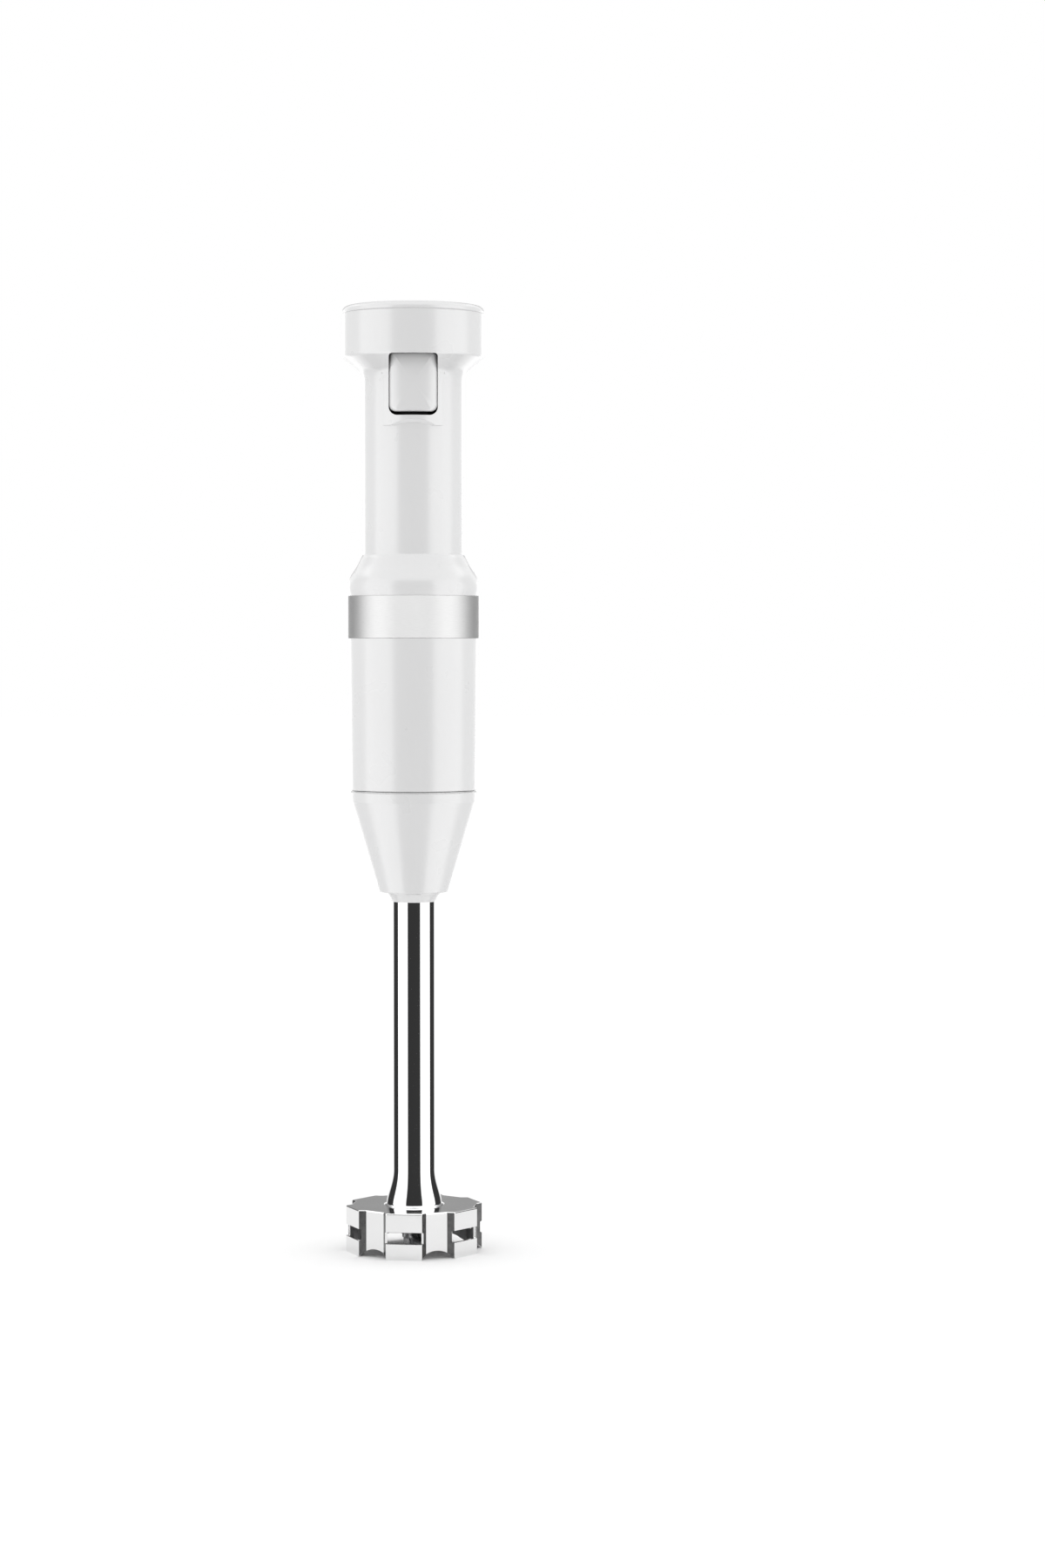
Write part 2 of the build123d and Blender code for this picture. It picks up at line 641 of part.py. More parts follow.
with BuildPart() as brush_holders:
    for side in (-1, 1):
        with BuildSketch(Plane.XY.offset(BRUSH_Z - BRUSH_HALF - 1.2)):
            with Locations((side * 14.3, 0)):
                Rectangle(10.6, 2 * BRUSH_HALF + 2.4)
        extrude(amount=2 * BRUSH_HALF + 2.4)
        with BuildSketch(Plane.XY.offset(BRUSH_Z - BRUSH_HALF)):
            with Locations((side * 12.0, 0)):
                Rectangle(12.2, 2 * BRUSH_HALF)
        extrude(amount=2 * BRUSH_HALF, mode=Mode.SUBTRACT)
        with BuildSketch(Plane.XY.offset(BRUSH_Z + BRUSH_HALF + 1.2)):
            with Locations((side * 16.5, 0)):
                Rectangle(5.0, 4.0)
        extrude(amount=UPPER_BRACKET - BRUSH_Z - BRUSH_HALF - 1.2)
save(brush_holders, "brush_holders")

# ---------------------------------------------------------------- handle shells
PAD_FRONT = 23.2
PAD_HALF = 12.9
PAD_FOOT = 354.2
PAD_TOP = PUCK_FOOT + 0.4
PAD_SIDE = -17.3
EAR = (10.9, 13.4)
EAR_FRONT = -17.8
EAR_BACK = -10.8
EAR_FOOT = CONE_FOOT - 0.8
EAR_TOP = PIVOT_Z + 3.3
BOSS_SCREW_R = 3.4
SHOULDER_R = 28.45
SKIRT_R = 28.2
NECK_BORE_R = NECK_R - SHELL_WALL
PUCK_FLOOR = PUCK_FOOT + 0.76
CONE_FLOOR = CONE_FOOT + 0.94

with BuildPart() as trigger_pad:
    with BuildSketch(Plane.XY.offset(PAD_FOOT)):
        with BuildLine():
            ThreePointArc((-PAD_HALF, PAD_SIDE), (0, -PAD_FRONT), (PAD_HALF, PAD_SIDE))
            Polyline((PAD_HALF, PAD_SIDE), (0, 0), (-PAD_HALF, PAD_SIDE))
        make_face()
    extrude(amount=PAD_TOP - PAD_FOOT)
    with BuildSketch(Plane.YZ):
        with BuildLine():
            slope = FilletPolyline((-PAD_FRONT - 1, PAD_TOP), (-PAD_FRONT - 1, PAD_FOOT + 3.6),
                                   (-PAD_FRONT, PAD_FOOT + 2.6), (1.2 - NECK_R, PAD_FOOT), radius=(0.3, 1.0))
            Polyline(slope @ 1, (0, PAD_FOOT), (0, PAD_TOP), slope @ 0)
        make_face()
    extrude(amount=20, both=True, mode=Mode.INTERSECT)


def handle_wall():
    """The handle's outer and inner outline as one closed face, added to the current sketch."""
    with BuildLine() as outline:
        shoulder = Spline((BAND_R - 0.1, BAND_TOP), (SHOULDER_R, 286.0), (27.5, 289.9), (24.6, 294.5),
                          (22.3, 299.0), (NECK_R, NECK_FOOT), tangents=((0.3, 1), (0, 1)))
        upper = FilletPolyline((NECK_R, NECK_FOOT), (NECK_R, CONE_FOOT), (PUCK_R, PUCK_FOOT),
                               (PUCK_R, LID_SEAM - STEP), (PUCK_R - STEP, LID_SEAM), radius=(6.0, 1.6, 0))
        Polyline(upper @ 1, (SKIRT_R, LID_SEAM), (SKIRT_R, PUCK_FLOOR), (NECK_BORE_R, CONE_FLOOR),
                 (NECK_BORE_R, 299.5), (SPIGOT_NECK_R, HOUSING_TOP + STEP), (SPIGOT_NECK_R, BAND_TOP),
                 shoulder @ 0)
    make_face(outline.edges())


with BuildPart() as handle_front_shell:
    with BuildSketch(Plane.XZ):
        handle_wall()
    revolve(axis=Axis.Z)
    add(trigger_pad.part)
    with BuildSketch(Plane.XY.offset(NECK_FOOT)):
        Circle(NECK_BORE_R)
    extrude(amount=CONE_FLOOR - NECK_FOOT, mode=Mode.SUBTRACT)
    with BuildSketch(Plane.XY.offset(CONE_FLOOR)):
        Circle(NECK_BORE_R)
    with BuildSketch(Plane.XY.offset(PUCK_FLOOR)):
        Circle(SKIRT_R)
    loft(mode=Mode.SUBTRACT)
    with BuildSketch(Plane.XZ.offset(9)):
        with Locations((0, (OPENING_FOOT + OPENING_TOP) / 2)):
            Rectangle(2 * OPENING_HALF, OPENING_TOP - OPENING_FOOT)
        fillet(vertices().sort_by(Axis.Y)[:2], radius=3.6)
        fillet(vertices().sort_by(Axis.Y)[-2:], radius=1.4)
    extrude(amount=24, mode=Mode.SUBTRACT)
    for side in (-1, 1):
        with BuildSketch(Plane.YZ.offset(side * EAR[0])):
            with BuildLine():
                FilletPolyline((EAR_FRONT, EAR_FOOT), (EAR_FRONT, EAR_TOP), (EAR_BACK, EAR_TOP),
                               (EAR_BACK, EAR_FOOT), close=True, radius=(0, 2.0, 2.0, 0))
            make_face()
        extrude(amount=side * (EAR[1] - EAR[0]))
    with BuildSketch(Plane.YZ.offset(-EAR[1])):
        with Locations((PIVOT_Y, PIVOT_Z)):
            Circle(PIVOT_R)
    extrude(amount=2 * EAR[1], mode=Mode.SUBTRACT)
    for z in SCREW_ZS:
        with BuildSketch(Plane.XZ):
            with Locations((0, z)):
                ring(BOSS_SCREW_R, 1.3)
        extrude(amount=NECK_R - SHELL_WALL + 0.3)
    split(bisect_by=Plane.XZ, keep=Keep.TOP)
save(handle_front_shell, "handle_front_shell")

CORD_SEAT_R = 6.5
CLAMP_Y = 16.0
CLAMP_DEPTH = 8.0
CLAMP_WIDTH = 18.0
CLAMP_FLOOR = 386.0
CLAMP_TOP = 397.8
CLAMP_SCREW_X = 6.3
CLAMP_SCREW_R = 1.2

with BuildPart() as handle_rear_shell:
    with BuildSketch(Plane.XZ):
        handle_wall()
    revolve(axis=Axis.Z)
    for z in SCREW_ZS:
        with BuildSketch(Plane.XZ.offset(-NECK_R + SHELL_WALL - 0.3)):
            with Locations((0, z)):
                Circle(BOSS_SCREW_R + 0.8)
        extrude(amount=NECK_R - SHELL_WALL + 0.3)
        with BuildSketch(Plane.XZ):
            with Locations((0, z)):
                Circle(1.6)
        extrude(amount=-30, mode=Mode.SUBTRACT)
        with BuildSketch(Plane.XZ.offset(-10)):
            with Locations((0, z)):
                Circle(2.9)
        extrude(amount=-20, mode=Mode.SUBTRACT)
    with BuildSketch(Plane.XZ.offset(-20)):
        with Locations((0, CORD_Z)):
            Circle(CORD_SEAT_R)
    extrude(amount=-15, mode=Mode.SUBTRACT)
    with BuildSketch(Plane.XY.offset(CLAMP_FLOOR - 8)):
        with Locations((0, CLAMP_Y)):
            Rectangle(CLAMP_WIDTH, CLAMP_DEPTH)
    extrude(amount=8)
    with BuildSketch(Plane.XY.offset(CLAMP_FLOOR - 6)):
        with Locations((CLAMP_SCREW_X, CLAMP_Y), (-CLAMP_SCREW_X, CLAMP_Y)):
            Circle(CLAMP_SCREW_R)
    extrude(amount=6, mode=Mode.SUBTRACT)
    for vent_plane in vent_planes(INLET_Z):
        with BuildSketch(vent_plane.offset(NECK_BORE_R - 2)):
            SlotOverall(VENT_LENGTH, INLET_WIDTH, rotation=90)
        extrude(amount=8, mode=Mode.SUBTRACT)
    split(bisect_by=Plane.XZ, keep=Keep.BOTTOM)
save(handle_rear_shell, "handle_rear_shell")

with BuildPart() as handle_screws:
    for z in SCREW_ZS:
        with BuildSketch(Plane.XZ.offset(-10)):
            with Locations((0, z)):
                Circle(2.7)
        extrude(amount=-2.0)
        with BuildSketch(Plane.XZ.offset(-10)):
            with Locations((0, z)):
                Circle(1.3)
        extrude(amount=23)
        with BuildSketch(Plane.XZ.offset(-11.2)):
            with Locations((0, z)):
                Rectangle(3.2, 0.7)
                Rectangle(0.7, 3.2)
        extrude(amount=-0.8, mode=Mode.SUBTRACT)
save(handle_screws, "handle_screws")

# ---------------------------------------------------------------- lid
LID_EDGE_R = 2.5
LID_CROWN = 0.5
LID_SHEET = 2.4
SKIRT_FOOT = 399.6

with BuildPart() as top_cap:
    rim_r = PUCK_R - LID_EDGE_R
    rim_z = TOTAL_HEIGHT - LID_CROWN
    rim_turn = radians(45)
    with BuildSketch(Plane.XZ):
        with BuildLine():
            ThreePointArc((0, TOTAL_HEIGHT), (rim_r / 2, TOTAL_HEIGHT - LID_CROWN / 4), (rim_r, rim_z))
            ThreePointArc((rim_r, rim_z),
                          (rim_r + LID_EDGE_R * sin(rim_turn), rim_z - LID_EDGE_R * (1 - cos(rim_turn))),
                          (PUCK_R, rim_z - LID_EDGE_R))
            Polyline((PUCK_R, rim_z - LID_EDGE_R), (PUCK_R, LID_SEAM + STEP), (PUCK_R - STEP, LID_SEAM),
                     (SKIRT_R, LID_SEAM), (SKIRT_R, SKIRT_FOOT), (SKIRT_R - 1.8, SKIRT_FOOT),
                     (SKIRT_R - 1.8, TOTAL_HEIGHT - LID_SHEET - LID_CROWN), (0, TOTAL_HEIGHT - LID_SHEET),
                     (0, TOTAL_HEIGHT))
        make_face()
    revolve(axis=Axis.Z)
save(top_cap, "top_cap")

# ---------------------------------------------------------------- cord entry
BUSH_TIP = 30.2
BUSH_BACK = 22.0

with BuildPart() as cord_bush:
    with BuildSketch(Plane.XZ.offset(-BUSH_TIP)):
        with Locations((0, CORD_Z)):
            Circle(CORD_SEAT_R)
    extrude(amount=BUSH_TIP - BUSH_BACK)
    fillet(edges().filter_by(GeomType.CIRCLE).sort_by(Axis.Y)[-1], radius=0.5)
    with BuildSketch(Plane.XZ.offset(-26.8)):
        with Locations((0, CORD_Z)):
            Rectangle(2 * CORD_SEAT_R + 3, 2 * CORD_SEAT_R - 2)
    extrude(amount=2.4)
    with BuildSketch(Plane.XZ.offset(-BUSH_TIP)):
        with Locations((0, CORD_Z)):
            Circle(CORD_R)
    extrude(amount=BUSH_TIP - BUSH_BACK, mode=Mode.SUBTRACT)
save(cord_bush, "cord_bush")

with BuildPart() as cord_clamp:
    with BuildSketch(Plane.XY.offset(CLAMP_FLOOR)):
        with Locations((0, CLAMP_Y)):
            Rectangle(CLAMP_WIDTH, CLAMP_DEPTH)
    extrude(amount=CLAMP_TOP - CLAMP_FLOOR)
    fillet(edges().filter_by(Axis.Y).group_by(Axis.Z)[-1], radius=1.5)
    with BuildSketch(Plane.XZ.offset(-CLAMP_Y - CLAMP_DEPTH / 2)):
        with Locations((0, CORD_Z)):
            Circle(CORD_R - 0.2)
    extrude(amount=CLAMP_DEPTH, mode=Mode.SUBTRACT)
    with BuildSketch(Plane.XY.offset(CLAMP_FLOOR)):
        with Locations((CLAMP_SCREW_X, CLAMP_Y), (-CLAMP_SCREW_X, CLAMP_Y)):
            Circle(CLAMP_SCREW_R)
    extrude(amount=CLAMP_TOP - CLAMP_FLOOR, mode=Mode.SUBTRACT)
save(cord_clamp, "cord_clamp")

with BuildPart() as clamp_screws:
    for side in (-1, 1):
        with BuildSketch(Plane.XY.offset(CLAMP_FLOOR - 6)):
            with Locations((side * CLAMP_SCREW_X, CLAMP_Y)):
                Circle(CLAMP_SCREW_R)
        extrude(amount=CLAMP_TOP - CLAMP_FLOOR + 6)
        with BuildSketch(Plane.XY.offset(CLAMP_TOP)):
            with Locations((side * CLAMP_SCREW_X, CLAMP_Y)):
                Circle(2.2)
                Rectangle(2.6, 0.6, mode=Mode.SUBTRACT)
        extrude(amount=1.4)
save(clamp_screws, "clamp_screws")

# ---------------------------------------------------------------- trigger
TRIGGER_DISH = 0.7
TRIGGER_BACK = -17.0
TRIGGER_EAR_BACK = -12.0
TRIGGER_SIDE = -21.7
TRIGGER_WALL = 1.7
TRIGGER_BOSS_R = 3.2
EAR_SLOPE = (372.0, 378.0)
HOLLOW_BACK = 5.0
HOLLOW_FRONT = 20.0
PUSHER = (15.85, 22.35)
FLANGE_HALF = 4.0
FLANGE_FRONT = 17.4
FLANGE_SHEET = 1.4
FLANGE_HEIGHT = 5.4

with BuildPart() as trigger:
    with BuildSketch(Plane.XZ.offset(-TRIGGER_EAR_BACK)):
        with Locations((0, (TRIGGER_FOOT + TRIGGER_TOP) / 2)):
            Rectangle(2 * TRIGGER_HALF, TRIGGER_TOP - TRIGGER_FOOT)
        fillet(vertices().sort_by(Axis.Y)[:2], radius=2.8)
        fillet(vertices().sort_by(Axis.Y)[-2:], radius=1.0)
    extrude(amount=16)
    with BuildSketch(Plane.YZ):
        with BuildLine():
            face = ThreePointArc((-TRIGGER_FACE, TRIGGER_TOP),
                                 (TRIGGER_DISH - TRIGGER_FACE, (TRIGGER_TOP + TRIGGER_FOOT) / 2),
                                 (-TRIGGER_FACE, TRIGGER_FOOT))
            Polyline(face @ 1, (TRIGGER_BACK, TRIGGER_FOOT), (TRIGGER_BACK, EAR_SLOPE[0]),
                     (TRIGGER_EAR_BACK, EAR_SLOPE[1]), (TRIGGER_EAR_BACK, TRIGGER_TOP), face @ 0)
        make_face()
    extrude(amount=TRIGGER_HALF, both=True, mode=Mode.INTERSECT)
    with BuildSketch(Plane.XY.offset(TRIGGER_FOOT)):
        with BuildLine():
            ThreePointArc((-TRIGGER_HALF, TRIGGER_SIDE), (0, -TRIGGER_FACE), (TRIGGER_HALF, TRIGGER_SIDE))
            Polyline((TRIGGER_HALF, TRIGGER_SIDE), (TRIGGER_HALF, 0), (-TRIGGER_HALF, 0),
                     (-TRIGGER_HALF, TRIGGER_SIDE))
        make_face()
    extrude(amount=TRIGGER_TOP - TRIGGER_FOOT, mode=Mode.INTERSECT)
    with BuildSketch(Plane.XZ.offset(HOLLOW_BACK)):
        with Locations((0, (TRIGGER_FOOT + TRIGGER_TOP) / 2)):
            Rectangle(2 * (TRIGGER_HALF - TRIGGER_WALL), TRIGGER_TOP - TRIGGER_FOOT - 2 * TRIGGER_WALL)
    extrude(amount=HOLLOW_FRONT - HOLLOW_BACK, mode=Mode.SUBTRACT)
    for side in (-1, 1):
        with BuildSketch(Plane.YZ.offset(side * (TRIGGER_HALF - TRIGGER_WALL))):
            with Locations((PIVOT_Y, PIVOT_Z)):
                Circle(TRIGGER_BOSS_R)
        extrude(amount=side * 2.5)
    with BuildSketch(Plane.YZ.offset(-TRIGGER_HALF - 2)):
        with Locations((PIVOT_Y, PIVOT_Z)):
            Circle(PIVOT_R + FIT)
    extrude(amount=2 * TRIGGER_HALF + 4, mode=Mode.SUBTRACT)
    with BuildSketch(Plane.XZ.offset(PUSHER[0])):
        with Locations((0, SWITCH_Z)):
            Rectangle(4.0, 3.0)
    extrude(amount=PUSHER[1] - PUSHER[0])
    with BuildSketch(Plane.XZ.offset(FLANGE_FRONT)):
        with Locations((0, TRIGGER_FOOT - 1.0)):
            Rectangle(2 * FLANGE_HALF, FLANGE_HEIGHT)
    extrude(amount=FLANGE_SHEET)
save(trigger, "trigger")

with BuildPart() as trigger_pivot_pin:
    with BuildSketch(Plane.YZ.offset(-EAR[1])):
        with Locations((PIVOT_Y, PIVOT_Z)):
            Circle(PIVOT_R)
    extrude(amount=2 * EAR[1])
    chamfer(edges().filter_by(GeomType.CIRCLE), length=0.25)
save(trigger_pivot_pin, "trigger_pivot_pin")

SPRING_FRONT = 19.5
SPRING_BACK = 9.4
SPRING_R = 2.35
SPRING_WIRE_R = 0.35
SPRING_TURNS = 5

with BuildPart() as trigger_spring:
    with BuildLine() as coil:
        Helix(pitch=(SPRING_FRONT - SPRING_BACK) / SPRING_TURNS, height=SPRING_FRONT - SPRING_BACK,
              radius=SPRING_R, center=(0, -SPRING_BACK, SPRING_Z), direction=(0, -1, 0))
    with BuildSketch(Plane(origin=coil.line @ 0, z_dir=coil.line % 0)):
        Circle(SPRING_WIRE_R)
    sweep(path=coil.line, is_frenet=True)
save(trigger_spring, "trigger_spring")

# ---------------------------------------------------------------- switch and its bracket
SWITCH_HALF = 6.0
SWITCH_FRONT = -12.5
SWITCH = (357.5, 368.5)
PLUNGER_R = 1.6
PLUNGER = (9.3, 15.5)

BRACKET_FOOT = 356.8
BRACKET_HEIGHT = 21.5
BRACKET_SHEET_Y = 1.5

with BuildPart() as switch_bracket:
    with BuildSketch(Plane.XY.offset(BRACKET_FOOT)):
        Circle(NECK_BORE_R)
        with Locations((0, BRACKET_Y + BRACKET_SHEET_Y / 2)):
            Rectangle(2 * NECK_R, BRACKET_SHEET_Y, mode=Mode.INTERSECT)
    extrude(amount=BRACKET_HEIGHT)
    with BuildSketch(Plane.XZ.offset(-BRACKET_Y)):
        with Locations((0, SPRING_Z)):
            Circle(3.2)
    extrude(amount=SPRING_BACK - SPRING_WIRE_R + BRACKET_Y)
    with BuildSketch(Plane.XZ.offset(-BRACKET_Y)):
        with Locations((0, SPRING_Z)):
            Circle(1.6)
    extrude(amount=10)
save(switch_bracket, "switch_bracket")

with BuildPart() as speed_switch:
    with BuildSketch(Plane.XY.offset(SWITCH[0])):
        with Locations((0, (SWITCH_FRONT + BRACKET_Y) / 2)):
            Rectangle(2 * SWITCH_HALF, BRACKET_Y - SWITCH_FRONT)
    extrude(amount=SWITCH[1] - SWITCH[0])
    fillet(edges().filter_by(Axis.Y), radius=0.6)
    with BuildSketch(Plane.XZ.offset(-SWITCH_FRONT)):
        with Locations((0, SWITCH_Z)):
            Circle(PLUNGER_R + FIT)
    extrude(amount=-6.0, mode=Mode.SUBTRACT)
    with BuildSketch(Plane.XY.offset(SWITCH[0])):
        with Locations((4.7, -5.5), (-4.7, -5.5), (4.7, -9.5)):
            Rectangle(1.0, 2.2)
    extrude(amount=-4.0)
save(speed_switch, "speed_switch")

with BuildPart() as switch_plunger:
    with BuildSketch(Plane.XZ.offset(PLUNGER[0])):
        with Locations((0, SWITCH_Z)):
            Circle(PLUNGER_R)
    extrude(amount=PLUNGER[1] - PLUNGER[0])
    chamfer(edges().filter_by(GeomType.CIRCLE).sort_by(Axis.Y)[0], length=0.3)
save(switch_plunger, "switch_plunger")

# ---------------------------------------------------------------- electronics
BOARD_FRONT = 1.0
BOARD_REAR = 2.4
BOARD_FOOT = 303.5
BOARD_HEIGHT = 43.5
SINK_FOOT = 306.0
SINK_HEIGHT = 26.0

with BuildPart() as control_board:
    with BuildSketch(Plane.XY.offset(BOARD_FOOT)):
        Circle(NECK_BORE_R)
        with Locations((0, (BOARD_FRONT + BOARD_REAR) / 2)):
            Rectangle(2 * NECK_R, BOARD_REAR - BOARD_FRONT, mode=Mode.INTERSECT)
    extrude(amount=BOARD_HEIGHT)
save(control_board, "control_board")

with BuildPart() as capacitor:
    with BuildSketch(Plane.XZ.offset(-BOARD_REAR)):
        with Locations((-7.5, 332)):
            Rectangle(10, 16)
        fillet(vertices(), radius=0.8)
    extrude(amount=-8)
save(capacitor, "capacitor")

with BuildPart() as choke_coil:
    with BuildSketch(Plane.XZ.offset(-BOARD_REAR)):
        with Locations((7.5, 330)):
            ring(6.8, 2.8)
    extrude(amount=-5)
    fillet(edges().filter_by(GeomType.CIRCLE).group_by(Axis.Y)[-1], radius=1.2)
save(choke_coil, "choke_coil")

with BuildPart() as triac:
    with BuildSketch(Plane.XZ.offset(-BOARD_FRONT)):
        with Locations((0, 339)):
            Rectangle(10, 8.6)
    extrude(amount=4.4)
    with BuildSketch(Plane.XZ.offset(3.4 - 1.2)):
        with Locations((0, 334)):
            Rectangle(10, 3)
    extrude(amount=1.2)
save(triac, "triac")

with BuildPart() as heat_sink:
    with BuildSketch(Plane.XY.offset(SINK_FOOT)):
        Rectangle(18, 2.0)
        with GridLocations(4.2, 1, 5, 1):
            with Locations((0, -4.5)):
                Rectangle(1.2, 7.2)
    extrude(amount=SINK_HEIGHT)
save(heat_sink, "heat_sink")

LEAD_R = 1.0

with BuildPart() as mains_leads:
    for side in (-1, 1):
        with BuildLine() as route:
            FilletPolyline((side * 2, 12, CORD_Z), (side * 6, 7, 388), (side * 6, 7, 343),
                           (side * 6, BOARD_REAR, 343), radius=(3, 3))
        with BuildSketch(Plane(origin=route.line @ 0, z_dir=route.line % 0)):
            Circle(LEAD_R)
        sweep(path=route.line)
save(mains_leads, "mains_leads")

with BuildPart() as motor_leads:
    for side in (-1, 1):
        with BuildLine() as route:
            FilletPolyline((side * 8, BOARD_REAR, 307), (side * 8, 8, 307), (side * 5.5, 15.8, 290),
                           (side * 5.5, 16.3, 273), (side * 12.5, 11, BRUSH_Z), (side * 12.5, 3.6, BRUSH_Z),
                           radius=(2.5, 4, 3, 2.5))
        with BuildSketch(Plane(origin=route.line @ 0, z_dir=route.line % 0)):
            Circle(LEAD_R)
        sweep(path=route.line)
save(motor_leads, "motor_leads")
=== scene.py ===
import json
import math

import bmesh
import bpy
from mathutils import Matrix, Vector


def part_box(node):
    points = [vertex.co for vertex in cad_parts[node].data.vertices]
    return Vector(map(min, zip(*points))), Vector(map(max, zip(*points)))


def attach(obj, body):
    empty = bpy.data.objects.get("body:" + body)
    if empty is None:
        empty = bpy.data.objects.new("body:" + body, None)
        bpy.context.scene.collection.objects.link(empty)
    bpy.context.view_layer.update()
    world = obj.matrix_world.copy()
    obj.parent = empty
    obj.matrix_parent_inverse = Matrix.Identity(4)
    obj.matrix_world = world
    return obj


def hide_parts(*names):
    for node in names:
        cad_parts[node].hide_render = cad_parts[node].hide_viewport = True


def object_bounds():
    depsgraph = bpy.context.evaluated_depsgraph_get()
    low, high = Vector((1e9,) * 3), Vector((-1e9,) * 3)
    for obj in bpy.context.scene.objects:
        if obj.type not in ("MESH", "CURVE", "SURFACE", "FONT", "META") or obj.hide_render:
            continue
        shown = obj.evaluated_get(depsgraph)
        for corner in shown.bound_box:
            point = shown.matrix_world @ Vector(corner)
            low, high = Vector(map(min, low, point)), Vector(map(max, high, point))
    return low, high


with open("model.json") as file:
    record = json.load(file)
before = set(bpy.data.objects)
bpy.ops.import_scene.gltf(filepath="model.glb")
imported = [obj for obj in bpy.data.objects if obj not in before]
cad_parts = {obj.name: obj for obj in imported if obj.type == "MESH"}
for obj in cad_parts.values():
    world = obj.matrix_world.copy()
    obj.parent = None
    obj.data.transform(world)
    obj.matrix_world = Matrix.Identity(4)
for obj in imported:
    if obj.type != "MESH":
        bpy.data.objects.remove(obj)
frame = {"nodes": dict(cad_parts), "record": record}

CAD_LOW, CAD_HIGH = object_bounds()
MM = 0.001

# ---------------------------------------------------------------- camera and studio
CAMERA_HEIGHT = 0.260
CAMERA_DISTANCE = 1.525
CAMERA_PITCH = 2.199
CAMERA_YAW = 1.760
CAMERA_LENS = 81.37

# The gloss mirrors a studio laid out by angle from the camera's side: a dark flag, a softbox, a dark flag
# and a half-bright rear, in degrees. The levels are shares of the softbox.
FRONT_DARK = 36.0
PANEL_END = 97.0
REAR_DARK = 150.0
RIM_END = 160.0
BLEND = 3.0
PANEL_RADIANCE = 2.2
FLAG_LEVEL = 0.02
REAR_LEVEL = 0.5
OVERHEAD_LEVEL = 0.8
PLATE_GREY = 0.16

# The sky over the panels, by the height of the mirrored ray (its Z), and where the rear begins, by share of
# the half turn. Each pair is where a change starts and where it ends.
REAR_SKY = (0.11, 0.145)
REAR_SKY_PALE = (0.4, 0.75)
REAR_SHARE = (0.72, 0.8)
OVERHEAD_SKY = (0.48, 0.62)

# The dome that lights matt surfaces.
DOME_FRONT = 0.86
DOME_SIDES = 1.2

KEY_RADIANCE = 0.2
FILL_RADIANCE = 0.12
CARD_RADIANCE = 2.6
RIM_RADIANCE = 0.8
RIM_DISTANCE = 1.5
RIM_HEIGHT = 0.3
FLOOR_SIZE = 12.0
NEAR_FLOOR = 0.165


def make_camera():
    """The camera stands in front of the blender, a little above its middle, and looks just to its right."""
    data = bpy.data.cameras.new("camera")
    data.sensor_width = 36.0
    data.lens = CAMERA_LENS
    data.clip_end = 50.0
    camera = bpy.data.objects.new("camera", data)
    camera.location = (0.0, -CAMERA_DISTANCE, CAMERA_HEIGHT)
    camera.rotation_euler = (math.radians(90.0 - CAMERA_PITCH), 0.0, math.radians(-CAMERA_YAW))
    bpy.context.scene.collection.objects.link(camera)
    bpy.context.scene.camera = camera


def area_light(name, location, target, width, height, radiance, glossy):
    """A soft rectangular light of a given radiance that points at a target and isn't seen by the camera."""
    data = bpy.data.lights.new(name, "AREA")
    data.shape = "RECTANGLE"
    data.size = width
    data.size_y = height
    data.energy = radiance * math.pi * width * height
    light = bpy.data.objects.new(name, data)
    light.location = location
    aim = Vector(target) - Vector(location)
    light.rotation_euler = aim.to_track_quat("-Z", "Y").to_euler()
    light.visible_camera = False
    light.visible_glossy = glossy
    bpy.context.scene.collection.objects.link(light)
    return light


def make_lights():
    """A large soft key above and to the left, and a weaker fill to the right, both off the gloss."""
    area_light("key", (-1.2, -1.3, 1.9), (0, 0, 0.2), 1.6, 1.6, KEY_RADIANCE, False)
    area_light("fill", (1.5, -0.9, 1.1), (0, 0, 0.2), 1.4, 1.4, FILL_RADIANCE, False)


def linked_light(light, pieces):
    """Limit a light to some pieces, as a photographer does with small cards and flags."""
    seen_by = bpy.data.collections.new(light.name + "_receivers")
    for piece in pieces:
        seen_by.objects.link(piece)
    light.light_linking.receiver_collection = seen_by


def make_cards(band, plastics):
    """A card by the camera for the brushed band, and one behind each side for the white plastic's edges."""
    card = area_light("band_card", (0.0, -1.6, 0.35), (0, 0, 0.27), 1.5, 1.2, CARD_RADIANCE, True)
    linked_light(card, [band])
    middle = math.radians((PANEL_END + RIM_END) / 2)
    width = 2 * RIM_DISTANCE * math.tan(math.radians((RIM_END - PANEL_END) / 2))
    for name, side in (("left_rim_card", -1), ("right_rim_card", 1)):
        place = (side * RIM_DISTANCE * math.sin(middle), -RIM_DISTANCE * math.cos(middle), RIM_HEIGHT)
        card = area_light(name, place, (0, 0, RIM_HEIGHT), width, 2.6, RIM_RADIANCE, True)
        card.visible_diffuse = False
        linked_light(card, plastics)


def ramp_node(nodes, links, value, stops):
    """A colour ramp over a value, from (place, grey) stops."""
    node = nodes.new("ShaderNodeValToRGB")
    set_ramp(node.color_ramp, stops)
    links.new(value, node.inputs[0])
    return node.outputs[0]


def rise_between(start, end, low=0.0, high=1.0):
    """Ramp stops that hold one level up to the start and another from the end on."""
    return [(0.0, low), (start, low), (end, high), (1.0, high)]


